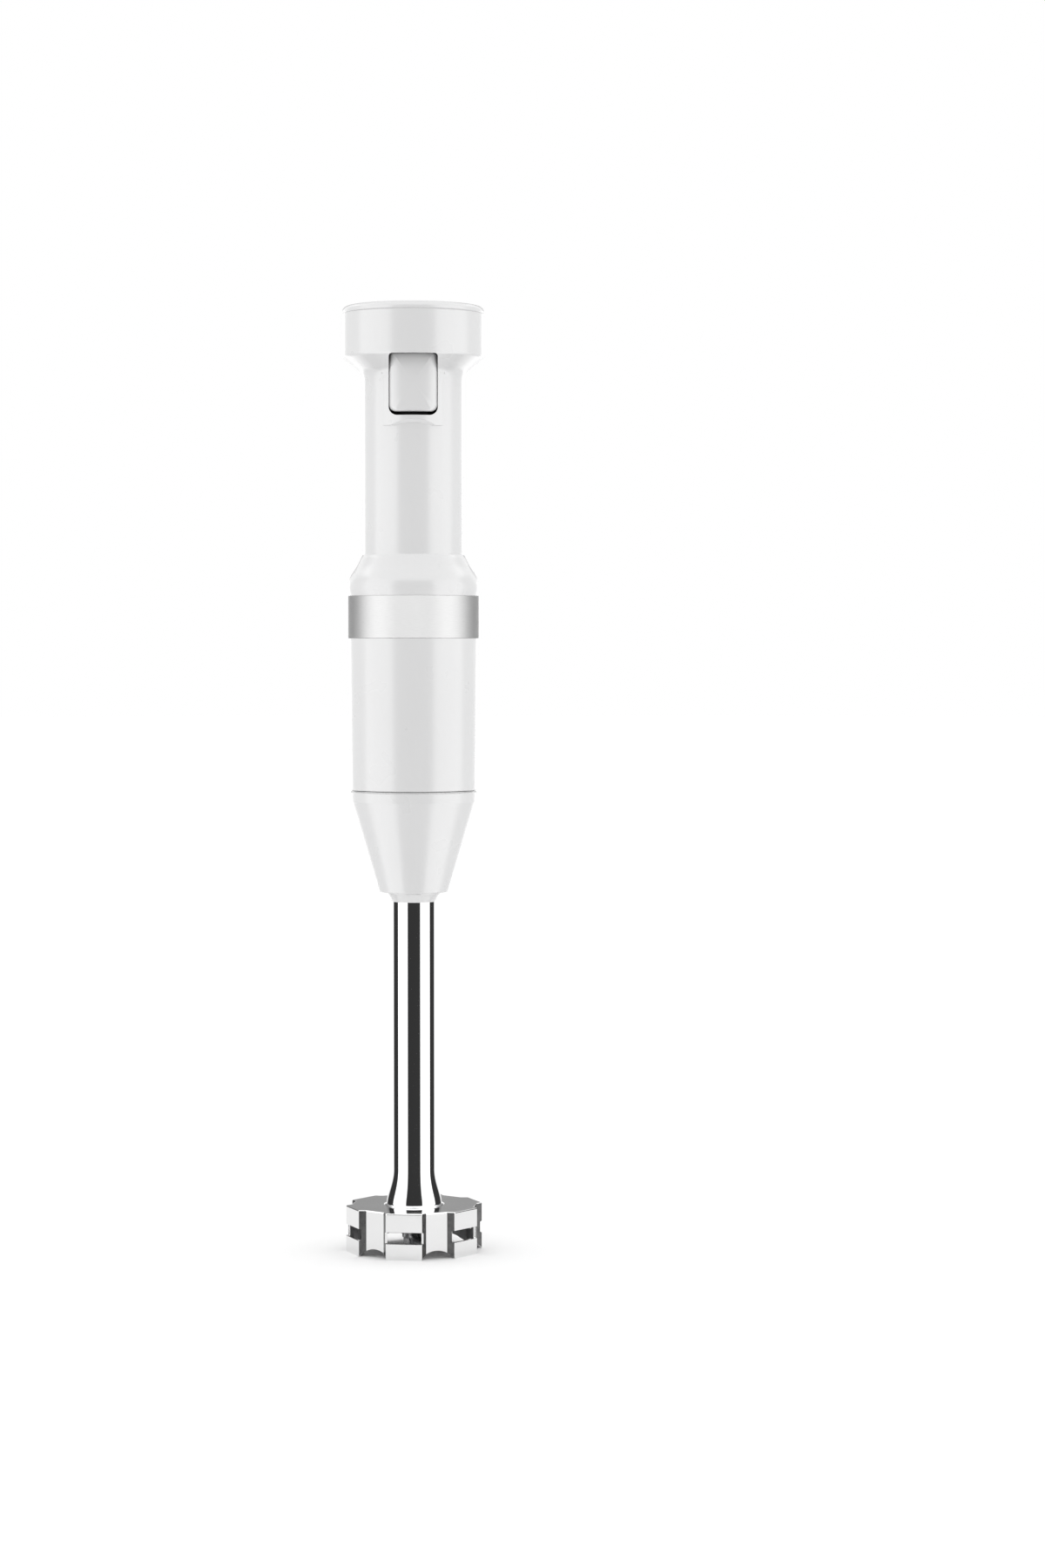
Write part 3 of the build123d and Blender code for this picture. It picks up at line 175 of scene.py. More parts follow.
def mirrored_studio(nodes, links, share, height):
    """What the gloss mirrors: the flags and softboxes by turn from the front, then the sky above them."""
    stops = (
        (0.0, FLAG_LEVEL), (FRONT_DARK - BLEND, FLAG_LEVEL),
        (FRONT_DARK + BLEND, 1.0), (PANEL_END - BLEND, 1.0),
        (PANEL_END + BLEND, FLAG_LEVEL), (REAR_DARK - 8, FLAG_LEVEL),
        (REAR_DARK + 4, REAR_LEVEL), (180.0, REAR_LEVEL),
    )
    panels = ramp_node(nodes, links, share, [(angle / 180.0, value) for angle, value in stops])
    risen = ramp_node(nodes, links, height, rise_between(*REAR_SKY))
    rear_sky = ramp_node(nodes, links, height, rise_between(*REAR_SKY_PALE, PLATE_GREY, REAR_LEVEL))
    rear = ramp_node(nodes, links, share, rise_between(*REAR_SHARE))
    overhead = ramp_node(nodes, links, height, rise_between(*OVERHEAD_SKY))
    forward = math_node(nodes, links, "SUBTRACT", 1.0, rear)
    lifted = math_node(nodes, links, "MULTIPLY", overhead, forward)
    above = math_node(nodes, links, "MULTIPLY", risen, rear)
    low_sky = mix_node(nodes, links, above, panels, rear_sky)
    sky = mix_node(nodes, links, lifted, low_sky, (OVERHEAD_LEVEL, OVERHEAD_LEVEL, OVERHEAD_LEVEL, 1))
    scaled = nodes.new("ShaderNodeVectorMath")
    scaled.operation = "SCALE"
    scaled.inputs["Scale"].default_value = PANEL_RADIANCE
    links.new(sky, scaled.inputs[0])
    return scaled.outputs[0]


def world_nodes():
    """White to the camera, an even dome to matt surfaces, and softboxes between dark flags in the gloss."""
    world = bpy.data.worlds.new("studio")
    bpy.context.scene.world = world
    world.use_nodes = True
    world.cycles.sampling_method = "NONE"
    nodes, links = world.node_tree.nodes, world.node_tree.links
    nodes.clear()
    out = nodes.new("ShaderNodeOutputWorld")
    background = nodes.new("ShaderNodeBackground")
    links.new(background.outputs[0], out.inputs[0])
    coords = nodes.new("ShaderNodeTexCoord")
    split = nodes.new("ShaderNodeSeparateXYZ")
    links.new(coords.outputs["Generated"], split.inputs[0])
    across = math_node(nodes, links, "ABSOLUTE", split.outputs["X"])
    forwards = math_node(nodes, links, "MULTIPLY", split.outputs["Y"], -1.0)
    turn = math_node(nodes, links, "ARCTAN2", across, forwards)
    share = math_node(nodes, links, "DIVIDE", turn, math.pi)
    gloss = mirrored_studio(nodes, links, share, split.outputs["Z"])
    dome = nodes.new("ShaderNodeMapRange")
    dome.inputs["From Min"].default_value = 0.25
    dome.inputs["From Max"].default_value = 0.5
    dome.inputs["To Min"].default_value = DOME_FRONT
    dome.inputs["To Max"].default_value = DOME_SIDES
    links.new(share, dome.inputs["Value"])
    path = nodes.new("ShaderNodeLightPath")
    dull = mix_node(nodes, links, path.outputs["Is Glossy Ray"], dome.outputs[0], gloss)
    seen = mix_node(nodes, links, path.outputs["Is Camera Ray"], dull, (1, 1, 1, 1))
    links.new(seen, background.inputs[0])


# ---------------------------------------------------------------- node helpers
def math_node(nodes, links, operation, *values):
    """A maths node over numbers and sockets."""
    node = nodes.new("ShaderNodeMath")
    node.operation = operation
    for i, value in enumerate(values):
        if isinstance(value, (int, float)):
            node.inputs[i].default_value = value
        else:
            links.new(value, node.inputs[i])
    return node.outputs[0]


def mix_node(nodes, links, factor, first, second):
    """A colour mix of two values, each a number, a colour or a socket."""
    node = nodes.new("ShaderNodeMix")
    node.data_type = "RGBA"
    for socket, value in ((node.inputs[0], factor), (node.inputs[6], first), (node.inputs[7], second)):
        if isinstance(value, (int, float, tuple)):
            socket.default_value = value
        else:
            links.new(value, socket)
    return node.outputs[2]


def set_ramp(ramp, stops):
    """Fill a colour ramp with (place, grey) or (place, colour) stops."""
    while len(ramp.elements) < len(stops):
        ramp.elements.new(1.0)
    for element, (place, value) in zip(ramp.elements, stops):
        element.position = place
        element.color = value if isinstance(value, tuple) else (value, value, value, 1)


def new_material(name):
    """An empty node material with a Principled shader: returns it, its nodes, links and shader."""
    material = bpy.data.materials.new(name)
    material.use_nodes = True
    nodes, links = material.node_tree.nodes, material.node_tree.links
    nodes.clear()
    out = nodes.new("ShaderNodeOutputMaterial")
    shader = nodes.new("ShaderNodeBsdfPrincipled")
    links.new(shader.outputs[0], out.inputs[0])
    return material, nodes, links, shader


def noise_node(nodes, links, scale, detail=2.0, stretch=None):
    """Noise in the object's own coordinates, stretched along an axis if asked."""
    coords = nodes.new("ShaderNodeTexCoord")
    source = coords.outputs["Object"]
    if stretch:
        mapping = nodes.new("ShaderNodeMapping")
        mapping.inputs["Scale"].default_value = stretch
        links.new(source, mapping.inputs["Vector"])
        source = mapping.outputs[0]
    node = nodes.new("ShaderNodeTexNoise")
    node.inputs["Scale"].default_value = scale
    node.inputs["Detail"].default_value = detail
    links.new(source, node.inputs["Vector"])
    return node.outputs["Fac"]


def vary(nodes, links, value, low, high, target):
    """Map a 0 to 1 value onto a range and feed it to a socket."""
    node = nodes.new("ShaderNodeMapRange")
    node.inputs["From Min"].default_value = 0.3
    node.inputs["From Max"].default_value = 0.7
    node.inputs["To Min"].default_value = low
    node.inputs["To Max"].default_value = high
    links.new(value, node.inputs["Value"])
    links.new(node.outputs[0], target)


def bump(nodes, links, height, relief, shader, edge):
    """Surface relief on top of slightly rounded edges."""
    worn = nodes.new("ShaderNodeBevel")
    worn.samples = 4
    worn.inputs["Radius"].default_value = edge
    node = nodes.new("ShaderNodeBump")
    links.new(worn.outputs[0], node.inputs["Normal"])
    node.inputs["Strength"].default_value = 0.2
    node.inputs["Distance"].default_value = relief
    links.new(height, node.inputs["Height"])
    links.new(node.outputs[0], shader.inputs["Normal"])


def tint(nodes, links, value, dark, light, shader):
    """Colour variation between two close tones."""
    node = nodes.new("ShaderNodeValToRGB")
    set_ramp(node.color_ramp, [(0.3, (*dark, 1)), (0.7, (*light, 1))])
    links.new(value, node.inputs[0])
    links.new(node.outputs[0], shader.inputs["Base Color"])


# ---------------------------------------------------------------- materials
def plastic(name, dark, light, rough, coat=0.0):
    """Moulded plastic with faint flow marks, uneven gloss and a fine surface texture."""
    material, nodes, links, shader = new_material(name)
    tint(nodes, links, noise_node(nodes, links, 18.0), dark, light, shader)
    vary(nodes, links, noise_node(nodes, links, 60.0, 3.0), rough[0], rough[1], shader.inputs["Roughness"])
    bump(nodes, links, noise_node(nodes, links, 900.0, 1.0), 0.00002, shader, 0.0003)
    shader.inputs["Coat Weight"].default_value = coat
    shader.inputs["Coat Roughness"].default_value = 0.2
    return material


def metal(name, dark, light, rough, stretch=None, grain=400.0):
    """Metal with uneven polish, and lines along the stretch where it was ground or turned."""
    material, nodes, links, shader = new_material(name)
    shader.inputs["Metallic"].default_value = 1.0
    lines = noise_node(nodes, links, grain, 3.0, stretch)
    tint(nodes, links, lines, dark, light, shader)
    vary(nodes, links, lines, rough[0], rough[1], shader.inputs["Roughness"])
    bump(nodes, links, lines, 0.00001, shader, 0.0002)
    return material


# Each look is a dark tone, a light tone and a span of roughness, then the stretch and grain of the lines.
TURNED = (1, 1, 60)
METALS = {
    "brushed_band": ((0.50, 0.50, 0.50), (0.60, 0.60, 0.60), (0.50, 0.60), TURNED),
    "polished_steel": ((0.78, 0.78, 0.78), (0.82, 0.82, 0.82), (0.04, 0.07), None, 30.0),
    "tube_steel": ((0.74, 0.74, 0.745), (0.80, 0.80, 0.805), (0.03, 0.06), (1, 1, 0.02), 220.0),
    # Satin steel for the bell's inside and boss: the satin roughness is real, and the tone, darker than
    # steel, paints the shade inside the bell.
    "satin_steel_painted_shade": ((0.30, 0.30, 0.305), (0.40, 0.40, 0.405), (0.32, 0.45), (1, 1, 30)),
    # Near-black steel that paints the shade on the bell's steps between lobes and recesses.
    "painted_shade_steel": ((0.10, 0.10, 0.10), (0.15, 0.15, 0.15), (0.25, 0.35)),
    "blade_steel": ((0.50, 0.50, 0.51), (0.62, 0.62, 0.63), (0.22, 0.32), (20, 1, 1)),
    "shaft_steel": ((0.50, 0.50, 0.51), (0.60, 0.60, 0.61), (0.2, 0.3), (1, 1, 40)),
    "screw_steel": ((0.42, 0.42, 0.44), (0.52, 0.52, 0.54), (0.28, 0.4)),
    "aluminium": ((0.66, 0.67, 0.68), (0.78, 0.79, 0.8), (0.3, 0.42), (30, 1, 1)),
    "bracket_metal": ((0.5, 0.51, 0.52), (0.62, 0.63, 0.64), (0.4, 0.55)),
    "lamination_steel": ((0.2, 0.2, 0.21), (0.34, 0.34, 0.35), (0.4, 0.55), TURNED),
    "copper_wire": ((0.48, 0.18, 0.07), (0.72, 0.34, 0.16), (0.25, 0.4), TURNED),
    "commutator_copper": ((0.6, 0.3, 0.13), (0.75, 0.42, 0.22), (0.2, 0.3), TURNED),
    "bearing_steel": ((0.58, 0.58, 0.6), (0.7, 0.7, 0.72), (0.12, 0.2), (1, 1, 40)),
    "bronze": ((0.5, 0.33, 0.14), (0.64, 0.45, 0.22), (0.35, 0.5)),
}
PLASTICS = {
    "black_rubber": ((0.022, 0.022, 0.022), (0.035, 0.035, 0.035), (0.6, 0.75)),
    "dark_plastic": ((0.03, 0.03, 0.033), (0.05, 0.05, 0.055), (0.4, 0.5)),
    "grey_plastic": ((0.28, 0.29, 0.30), (0.34, 0.35, 0.36), (0.38, 0.5)),
    "circuit_board": ((0.02, 0.13, 0.05), (0.03, 0.2, 0.08), (0.3, 0.45)),
    "film_capacitor": ((0.6, 0.45, 0.08), (0.7, 0.52, 0.1), (0.3, 0.4)),
    "ferrite": ((0.07, 0.07, 0.08), (0.12, 0.12, 0.13), (0.5, 0.6)),
    "carbon": ((0.03, 0.03, 0.03), (0.06, 0.06, 0.06), (0.45, 0.6)),
    "wire_insulation": ((0.04, 0.04, 0.2), (0.06, 0.06, 0.28), (0.35, 0.45)),
}
WHITE = ((0.725, 0.725, 0.727), (0.74, 0.74, 0.742), (0.27, 0.30))


def make_materials():
    """A material for each slot of the record, a finish for the tube, a satin steel for the bell's inside
    whose darker tone paints shade, and a near-black steel that paints shade on the bell's steps.
    """
    made = {name: metal(name, *look) for name, look in METALS.items()}
    made.update({name: plastic(name, *look) for name, look in PLASTICS.items()})
    made["white_plastic"] = plastic("white_plastic", *WHITE, coat=0.8)
    return made


def dress_frame(materials):
    """Give every CAD node the procedural material of its slot."""
    for row in frame["record"]["subparts"]:
        node = frame["nodes"][row["node"]]
        node.data.materials.clear()
        node.data.materials.append(materials[row["material_slot"]])


# ---------------------------------------------------------------- mesh helpers
CRISP = 35


def shade(data):
    """Smooth shading with the sharper edges kept crisp."""
    data.polygons.foreach_set("use_smooth", [True] * len(data.polygons))
    data.set_sharp_from_angle(angle=math.radians(CRISP))


def add_object(name, mesh, body, slot, replaced, *looks):
    """Turn a bmesh into a smooth-shaded piece that rides on a body and stands for CAD nodes."""
    bmesh.ops.recalc_face_normals(mesh, faces=mesh.faces)
    data = bpy.data.meshes.new(name)
    mesh.to_mesh(data)
    mesh.free()
    piece = bpy.data.objects.new(name, data)
    bpy.context.scene.collection.objects.link(piece)
    for look in looks:
        data.materials.append(look)
    shade(data)
    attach(piece, body)
    if replaced:
        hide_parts(*replaced)
    return piece


def soften(piece, width):
    """Round a piece's sharp edges and keep its broad faces flat in shading."""
    bevel = piece.modifiers.new("edges", "BEVEL")
    bevel.width = width
    bevel.segments = 2
    bevel.limit_method = "ANGLE"
    bevel.angle_limit = math.radians(30)
    normals = piece.modifiers.new("normals", "WEIGHTED_NORMAL")
    normals.keep_sharp = True


def bridge_rings(mesh, rings, closed=True):
    """Join rings of the same number of vertices with quads; a closed stack also joins its ends."""
    pairs = list(zip(rings, rings[1:]))
    if closed:
        pairs.append((rings[-1], rings[0]))
    faces = []
    for low_ring, high_ring in pairs:
        count = len(low_ring)
        for i in range(count):
            j = (i + 1) % count
            faces.append(mesh.faces.new((low_ring[i], low_ring[j], high_ring[j], high_ring[i])))
    return faces


def ring_at(mesh, outline, z):
    """The vertices of a plan outline at a height."""
    return [mesh.verts.new((x, y, z)) for x, y in outline]


def lathe(mesh, profile, segments=256, closed=True):
    """Turn a (radius, height) profile about the Z axis."""
    turns = [2 * math.pi * i / segments for i in range(segments)]
    rings = [[mesh.verts.new((r * math.cos(t), r * math.sin(t), z)) for t in turns] for r, z in profile]
    return bridge_rings(mesh, rings, closed)


def arc(centre, radius, start, end, steps):
    """Points of an arc in a profile, from one angle to another in degrees."""
    angles = [math.radians(start + (end - start) * i / steps) for i in range(steps + 1)]
    return [(centre[0] + radius * math.cos(a), centre[1] + radius * math.sin(a)) for a in angles]


def rounded(corners, radii, steps=6):
    """A closed outline with each corner replaced by an arc tangent to its two sides."""
    points = []
    count = len(corners)
    for i, (corner, radius) in enumerate(zip(corners, radii)):
        corner = Vector(corner)
        before = (Vector(corners[i - 1]) - corner).normalized()
        after = (Vector(corners[(i + 1) % count]) - corner).normalized()
        half = before.angle(after) / 2
        centre = corner + (before + after).normalized() * (radius / math.sin(half))
        first = corner + before * (radius / math.tan(half)) - centre
        last = corner + after * (radius / math.tan(half)) - centre
        turn = math.atan2(first.x * last.y - first.y * last.x, first.dot(last))
        for k in range(steps + 1):
            cos, sin = math.cos(turn * k / steps), math.sin(turn * k / steps)
            spoke = Vector((first.x * cos - first.y * sin, first.x * sin + first.y * cos))
            points.append(tuple(centre + spoke))
    return points


# ---------------------------------------------------------------- bell
LOBES = 6
LOBE_TURN = -99.0
LOBE_REACH, LOBE_HALF = 28.5 * MM, 7.8 * MM
RECESS_REACH, RECESS_HALF = 26.6 * MM, 4.8 * MM
LOBE_CORNER = 0.6 * MM
BELL_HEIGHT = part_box("bell")[1].z
BELL_WALL = 1.1 * MM
BELL_EDGE = 0.5 * MM
WINDOW = (6.8 * MM, 11.9 * MM)
WINDOW_HALF = 8.3 * MM
WINDOW_CORNER = 0.5 * MM
WINDOW_CUT = (26.8 * MM, 31 * MM)
ARCH_HALF = 7.75 * MM
ARCH_RISE = 3.6 * MM
ARCH_CUT = (18 * MM, 32 * MM)
BOSS_BORE, BOSS_R, BOSS_ROOT = 5.0 * MM, 6.6 * MM, 7.0 * MM
BOSS_FOOT = 12.0 * MM
BOSS_EDGE = BOSS_ROOT - BOSS_R
SOFT_EDGE = 0.22 * MM
UPRIGHT = 0.3
STEP_FACING = (0.4, 0.87)


def bell_outline(inset):
    """The six-lobed plan of the bell, drawn in by a distance, with rounded corners."""
    ends = []
    for i in range(LOBES):
        lobe = math.radians(LOBE_TURN + i * 360 / LOBES)
        recess = lobe + math.pi / LOBES
        for reach, half, angle in ((LOBE_REACH, LOBE_HALF, lobe), (RECESS_REACH, RECESS_HALF, recess)):
            face = Vector((math.cos(angle), math.sin(angle))) * reach
            along = Vector((-math.sin(angle), math.cos(angle)))
            ends.append(face - half * along)
            ends.append(face + half * along)
    count = len(ends)
    corners = []
    for i, point in enumerate(ends):
        before = (point - ends[i - 1]).normalized()
        after = (ends[(i + 1) % count] - point).normalized()
        inward = Vector((-before.y - after.y, before.x + after.x)).normalized()
        corners.append(point + inward * inset / math.cos(before.angle(after) / 2))
    return rounded(corners, [LOBE_CORNER] * count)


def radial_block(angle, outline, near, far):
    """A closed block that points outwards at an angle, from an outline of (across, height) points."""
    mesh = bmesh.new()
    outward = Vector((math.cos(angle), math.sin(angle), 0))
    along = Vector((-math.sin(angle), math.cos(angle), 0))
    ends = []
    for reach in (near, far):
        ends.append([mesh.verts.new(outward * reach + along * u + Vector((0, 0, v))) for u, v in outline])
    bridge_rings(mesh, ends, False)
    for end in ends:
        mesh.faces.new(end)
    return mesh


def window_outline():
    """The front view of a window: a low rectangle with rounded corners."""
    low, high = WINDOW
    corners = [(-WINDOW_HALF, low), (WINDOW_HALF, low), (WINDOW_HALF, high), (-WINDOW_HALF, high)]
    return rounded(corners, [WINDOW_CORNER] * 4, 4)


def arch_outline():
    """The front view of an arch: a shallow crown over a foot that reaches just below the rim."""
    radius = (ARCH_HALF ** 2 + ARCH_RISE ** 2) / (2 * ARCH_RISE)
    reach = math.degrees(math.asin(ARCH_HALF / radius))
    crown = arc((0, ARCH_RISE - radius), radius, 90 - reach, 90 + reach, 20)
    return crown + [(-ARCH_HALF, -MM), (ARCH_HALF, -MM)]


def cut(piece, cutters):
    """Take closed meshes out of a piece for good."""
    for mesh in cutters:
        bmesh.ops.recalc_face_normals(mesh, faces=mesh.faces)
        data = bpy.data.meshes.new("cutter")
        mesh.to_mesh(data)
        mesh.free()
        cutter = bpy.data.objects.new("cutter", data)
        bpy.context.scene.collection.objects.link(cutter)
        boolean = piece.modifiers.new("cut", "BOOLEAN")
        boolean.object = cutter
        boolean.solver = "EXACT"
        graph = bpy.context.evaluated_depsgraph_get()
        done = bpy.data.meshes.new_from_object(piece.evaluated_get(graph))
        piece.modifiers.remove(boolean)
        piece.data = done
        bpy.data.objects.remove(cutter)
    shade(piece.data)


def paint_step_shade(piece):
    """Give the steps between lobes and recesses the third material, a near-black steel that paints their
    shade: they face well away from the radius.
    """
    for face in piece.data.polygons:
        outward = face.normal.xy.normalized().dot(face.center.xy.normalized())
        upright = abs(face.normal.z) < UPRIGHT
        sideways = STEP_FACING[0] < outward < STEP_FACING[1]
        if face.material_index == 0 and upright and sideways:
            face.material_index = 2


def make_bell(materials):
    """Thin polished shell: lobed wall with a rounded top edge, a satin inside whose darker tone paints shade,
    steps in near-black steel as painted shade, six windows and six arches.
    """
    mesh = bmesh.new()
    rings = [ring_at(mesh, bell_outline(0.0), 0.0)]
    for degrees in (0, 22.5, 45, 67.5, 90):
        angle = math.radians(degrees)
        inset, rise = BELL_EDGE * (1 - math.cos(angle)), BELL_EDGE * math.sin(angle)
        rings.append(ring_at(mesh, bell_outline(inset), BELL_HEIGHT - BELL_EDGE + rise))
    bridge_rings(mesh, rings, False)
    mesh.faces.new(rings[-1])
    ceiling = BELL_HEIGHT - BELL_WALL
    inner = [ring_at(mesh, bell_outline(BELL_WALL), z) for z in (0.0, ceiling)]
    inside = bridge_rings(mesh, inner, False)
    inside.append(mesh.faces.new(inner[-1]))
    bridge_rings(mesh, [rings[0], inner[0]], False)
    for face in inside:
        face.material_index = 1
    piece = add_object("bell_shell", mesh, "blending_arm", "polished_steel", ("bell",),
                       materials["polished_steel"], materials["satin_steel_painted_shade"], materials["painted_shade_steel"])
    cutters = []
    for i in range(LOBES):
        lobe = math.radians(LOBE_TURN + i * 360 / LOBES)
        cutters.append(radial_block(lobe, window_outline(), *WINDOW_CUT))
        cutters.append(radial_block(lobe + math.pi / LOBES, arch_outline(), *ARCH_CUT))
    cut(piece, cutters)
    # The steps get the near-black steel as painted shade.
    paint_step_shade(piece)
    soften(piece, SOFT_EDGE)
    boss = bmesh.new()
    profile = [(BOSS_BORE, ceiling), (BOSS_BORE, BOSS_FOOT), (BOSS_R, BOSS_FOOT)]
    profile += arc((BOSS_R, BOSS_FOOT + BOSS_EDGE), BOSS_EDGE, -90, 0, 4)
    lathe(boss, profile + [(BOSS_ROOT, ceiling)], 96)
    add_object("bell_boss", boss, "blending_arm", "polished_steel", (), materials["satin_steel_painted_shade"])


# ---------------------------------------------------------------- arm tube
TUBE_R, TUBE_WALL = 9.0 * MM, 0.8 * MM
FLARE_HEIGHT, FLARE_SWELL = 15.1 * MM, 3.0 * MM
FLARE_ROWS = 28
FILLET_PLACE, FILLET_R = 13.1 * MM, 1.15 * MM
FOOT_BORE, THROAT_BORE, THROAT_HEIGHT = 11.2 * MM, 10.8 * MM, 3 * MM


def make_tube(materials):
    """The polished tube, with its flare and the small bead where it meets the bell's plate."""
    foot, top = (corner.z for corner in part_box("arm_tube"))
    outer = arc((FILLET_PLACE, foot + FILLET_R), FILLET_R, 270, 184, 8)
    start = outer[-1][1]
    for i in range(1, FLARE_ROWS + 1):
        height = start + (foot + FLARE_HEIGHT - start) * i / FLARE_ROWS
        share = min((height - foot) / FLARE_HEIGHT, 1.0)
        outer.append((TUBE_R + FLARE_SWELL / 2 * (1 + math.cos(math.pi * share ** 0.9)), height))
    outer.append((TUBE_R, top))
    bore = TUBE_R - TUBE_WALL
    inner = [(bore, top), (bore, foot + FLARE_HEIGHT), (THROAT_BORE, foot + THROAT_HEIGHT), (FOOT_BORE, foot)]
    mesh = bmesh.new()
    lathe(mesh, outer + inner, 192)
    add_object("polished_tube", mesh, "blending_arm", "polished_steel", ("arm_tube",),
               materials["tube_steel"])


# ---------------------------------------------------------------- collar lip
LIP_BORE, LIP_R, LIP_HEIGHT = 25.2 * MM, 26.6 * MM, 0.45 * MM


def make_collar_lip(materials):
    """The low lip on top of the collar, seen in the seam under the housing."""
    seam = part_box("arm_collar")[1].z
    top = seam + LIP_HEIGHT
    mesh = bmesh.new()
    lathe(mesh, [(LIP_BORE, seam), (LIP_R, seam), (LIP_R, top), (LIP_BORE, top)], 192)
    add_object("collar_lip", mesh, "blending_arm", "white_plastic", (), materials["white_plastic"])


# ---------------------------------------------------------------- trigger
TRIGGER_LOW, TRIGGER_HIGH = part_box("trigger")
KEY_HALF = 9.95 * MM
KEY_FOOT = 360.0 * MM
KEY_RISE = 0.35 * MM
KEY_TOP = TRIGGER_HIGH.z + KEY_RISE
KEY_MIDDLE = (KEY_FOOT + KEY_TOP) / 2
KEY_DISH = 0.7 * MM
KEY_CROWN_R = 20.0 * MM
KEY_RIM = 1.5 * MM
KEY_WALL = 1.6 * MM
KEY_HOLLOW = -20.0 * MM
KEY_REAR, KEY_REAR_SLOPE = -17.0 * MM, 5.0 * MM
FOOT_CORNER, FOOT_LEAST = 3.0 * MM, 0.8 * MM
TOP_CORNER, TOP_LEAST = 1.5 * MM, 0.5 * MM
STEP_OUT = 0.3 * MM
STEP_DEPTH = (1.8 * MM, 2.0 * MM)


def key_outline(inset, step=0.0):
    """The front view of the key, drawn in by a distance or stepped out."""
    half, foot, top = KEY_HALF - inset + step, KEY_FOOT + inset, KEY_TOP - inset + step
    foot_corner = max(FOOT_CORNER - inset, FOOT_LEAST)
    top_corner = max(TOP_CORNER - inset, TOP_LEAST)
    corners = [(-half, foot), (half, foot), (half, top), (-half, top)]
    return rounded(corners, [foot_corner, foot_corner, top_corner, top_corner], 8)


def key_face(mesh, points, back):
    """Vertices at a depth behind the key's face, which is crowned across and dished in height."""
    ring = []
    for x, z in points:
        dished = KEY_DISH * (1 - ((z - KEY_MIDDLE) / (KEY_TOP - KEY_MIDDLE)) ** 2)
        crowned = KEY_CROWN_R - math.sqrt(KEY_CROWN_R ** 2 - x ** 2)
        ring.append(mesh.verts.new((x, TRIGGER_LOW.y + dished + crowned + back, z)))
    return ring


def key_rear(mesh, points):
    """Vertices on the key's open rear, which slopes to clear the switch below and the ears above."""
    rise = KEY_REAR_SLOPE / (KEY_TOP - KEY_FOOT)
    return [mesh.verts.new((x, KEY_REAR + rise * (z - KEY_FOOT), z)) for x, z in points]


def make_trigger(materials):
    """A moulded key: rounded rim, crowned and dished face, hollow rear and a step that closes its gap."""
    mesh = bmesh.new()
    stepped = key_outline(0.0, STEP_OUT)
    rings = [key_rear(mesh, stepped), key_face(mesh, stepped, STEP_DEPTH[1])]
    rings.append(key_face(mesh, key_outline(0.0), STEP_DEPTH[0]))
    for degrees in range(0, 91, 15):
        angle = math.radians(degrees)
        inset, back = KEY_RIM * (1 - math.cos(angle)), KEY_RIM * (1 - math.sin(angle))
        rings.append(key_face(mesh, key_outline(inset), back))
    last = key_outline(KEY_RIM)
    for tenths in range(9, 0, -1):
        share = tenths / 10
        shrunk = [(x * share, KEY_MIDDLE + (z - KEY_MIDDLE) * share) for x, z in last]
        rings.append(key_face(mesh, shrunk, 0.0))
    bridge_rings(mesh, rings, False)
    mesh.faces.new(rings[-1])
    hollow = key_outline(KEY_WALL)
    bottom = [mesh.verts.new((x, KEY_HOLLOW, z)) for x, z in hollow]
    rim = key_rear(mesh, hollow)
    bridge_rings(mesh, [rings[0], rim, bottom], False)
    mesh.faces.new(bottom)
    return add_object("trigger_key", mesh, "trigger", "white_plastic", ("trigger",),
                      materials["white_plastic"])


# ---------------------------------------------------------------- blade
HUB = (5.4 * MM, 10.3 * MM)
HUB_R, HUB_BORE, HUB_EDGE = 5.2 * MM, 3.0 * MM, 0.5 * MM
WINGS = 4
WING_TURN = LOBE_TURN + 20
WING_LIFT = (-4, 5)
WING_PITCH = math.radians(20)
WING_THICK = 0.65 * MM
# The plan of a wing in millimetres along and across it, with the share of its width left at each face.
WING = (
    (4.0, -3.2, 0.35), (8.0, -3.5, 0.72), (12.0, -3.6, 0.72), (16.5, -2.7, 0.66),
    (20.2, -1.2, 0.7), (20.4, 0.3, 0.8), (19.7, 2.0, 0.7),
    (17.0, 2.7, 0.66), (11.0, 3.4, 0.72), (7.5, 3.2, 0.72), (4.0, 3.0, 0.35),
)


def add_wing(mesh, turn, lift):
    """One pitched wing: its cutting outline at mid thickness and two narrower faces."""
    radial = Vector((math.cos(turn) * math.cos(lift), math.sin(turn) * math.cos(lift), math.sin(lift)))
    level = Vector((-math.sin(turn), math.cos(turn), 0))
    across = level * math.cos(WING_PITCH) + radial.cross(level) * math.sin(WING_PITCH)
    face = radial.cross(across)
    centre = Vector((0, 0, sum(HUB) / 2))
    layers = []
    for height in (-WING_THICK, 0.0, WING_THICK):
        layer = []
        for out, aside, ground in WING:
            width = aside * ground if height else aside
            layer.append(mesh.verts.new(centre + radial * out * MM + across * width * MM + face * height))
        layers.append(layer)
    bridge_rings(mesh, layers, False)
    mesh.faces.new(layers[0])
    mesh.faces.new(layers[-1])


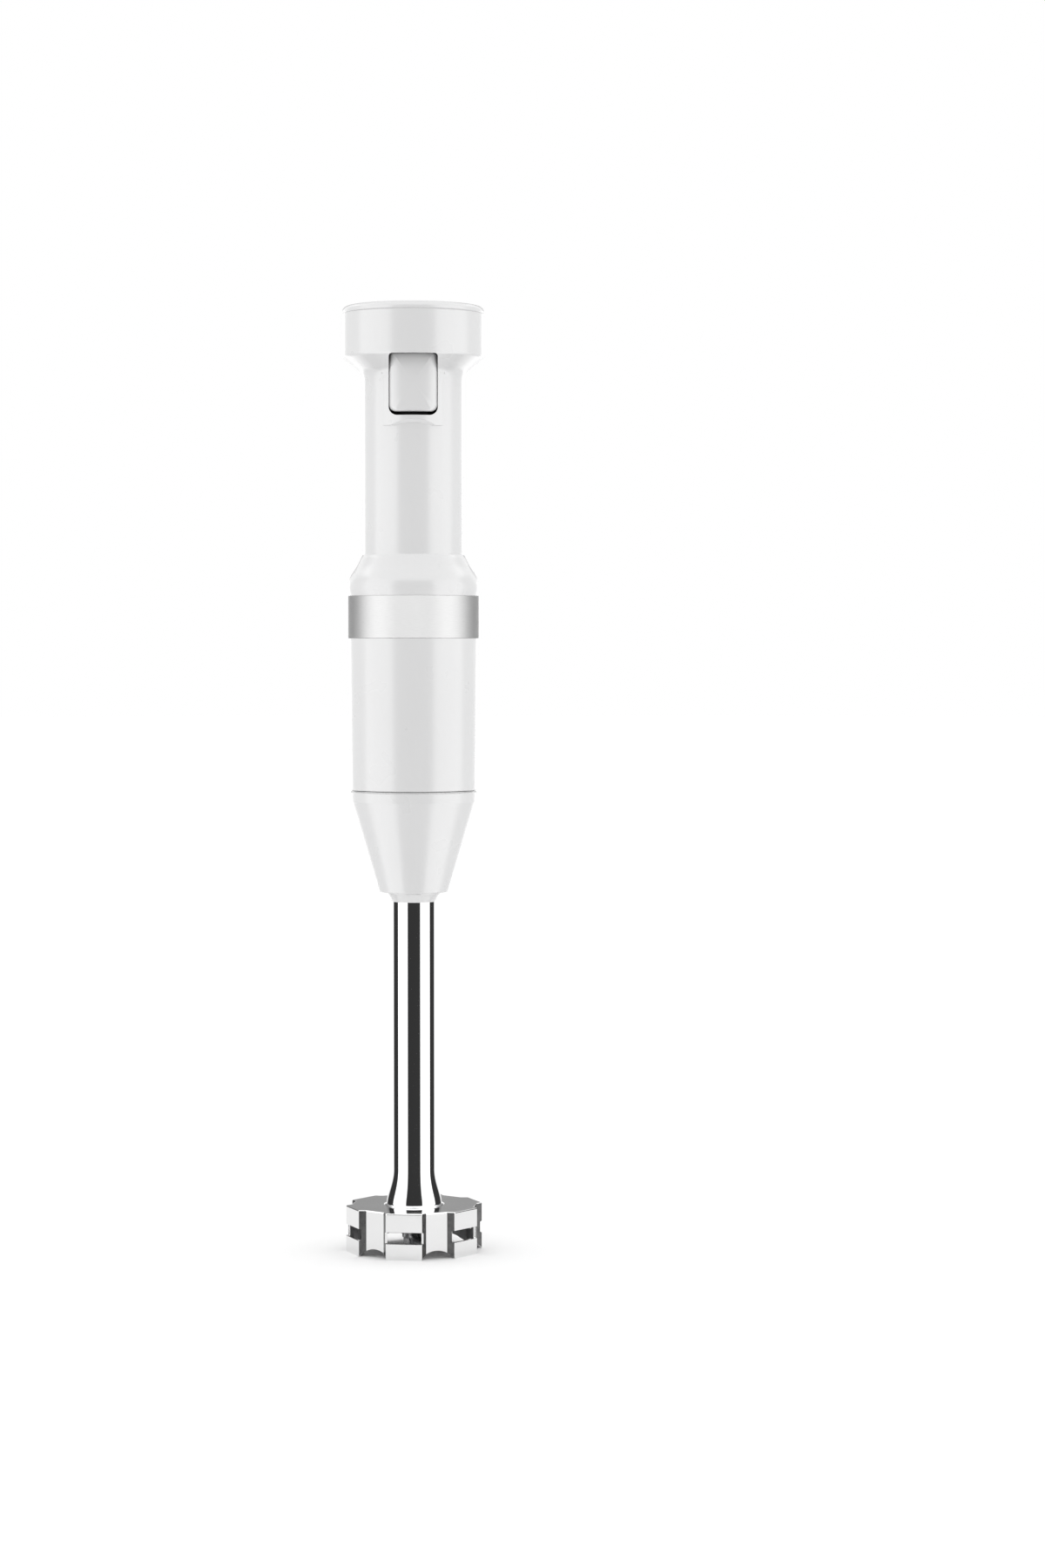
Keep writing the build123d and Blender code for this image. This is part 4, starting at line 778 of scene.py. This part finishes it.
def make_blade(materials):
    """A turned hub with four pitched wings, each ground to an edge on both sides."""
    mesh = bmesh.new()
    low, high = HUB
    inner = HUB_R - HUB_EDGE
    lathe(mesh, [(HUB_BORE, high), (HUB_BORE, low), (inner, low)]
          + arc((inner, low + HUB_EDGE), HUB_EDGE, -90, 0, 4)[1:]
          + arc((inner, high - HUB_EDGE), HUB_EDGE, 0, 90, 4), 96)
    for i in range(WINGS):
        add_wing(mesh, math.radians(WING_TURN + i * 360 / WINGS), math.radians(WING_LIFT[i % 2]))
    piece = add_object("ground_blade", mesh, "blade_rotor", "blade_steel", ("blade",),
                       materials["blade_steel"])
    for polygon in piece.data.polygons:
        polygon.use_smooth = polygon.center.xy.length < HUB_R


# ---------------------------------------------------------------- floor
def floor_sheet(name, mesh, material, glossy):
    """A flat sheet of floor that the gloss mirrors or doesn't."""
    for face in mesh.faces:
        if face.normal.z < 0:
            face.normal_flip()
    data = bpy.data.meshes.new(name)
    mesh.to_mesh(data)
    mesh.free()
    data.materials.append(material)
    floor = bpy.data.objects.new(name, data)
    floor.location = (0, 0, CAD_LOW.z)
    floor.visible_glossy = glossy
    bpy.context.scene.collection.objects.link(floor)


def make_floor():
    """A plain pale floor; only the disc near the foot shows in the gloss."""
    material, nodes, links, shader = new_material("floor")
    tint(nodes, links, noise_node(nodes, links, 2.0), (0.95, 0.95, 0.95), (0.97, 0.97, 0.97), shader)
    shader.inputs["Roughness"].default_value = 0.7
    shader.inputs["Specular IOR Level"].default_value = 0.0
    near = bmesh.new()
    bmesh.ops.create_circle(near, cap_ends=True, radius=NEAR_FLOOR, segments=96)
    floor_sheet("near_floor", near, material, True)
    far = bmesh.new()
    lathe(far, [(NEAR_FLOOR, 0.0), (1.0, 0.0), (FLOOR_SIZE, 0.0)], 96, False)
    floor_sheet("far_floor", far, material, False)


# ---------------------------------------------------------------- scene
bpy.context.scene.view_settings.view_transform = "Standard"
materials = make_materials()
dress_frame(materials)
make_bell(materials)
make_tube(materials)
make_collar_lip(materials)
key = make_trigger(materials)
make_blade(materials)
make_floor()
make_camera()
world_nodes()
make_lights()
white_nodes = [frame["nodes"][row["node"]] for row in frame["record"]["subparts"]
               if row["material_slot"] == "white_plastic" and row["node"] != "trigger"]
make_cards(frame["nodes"]["metal_band"], white_nodes + [key])
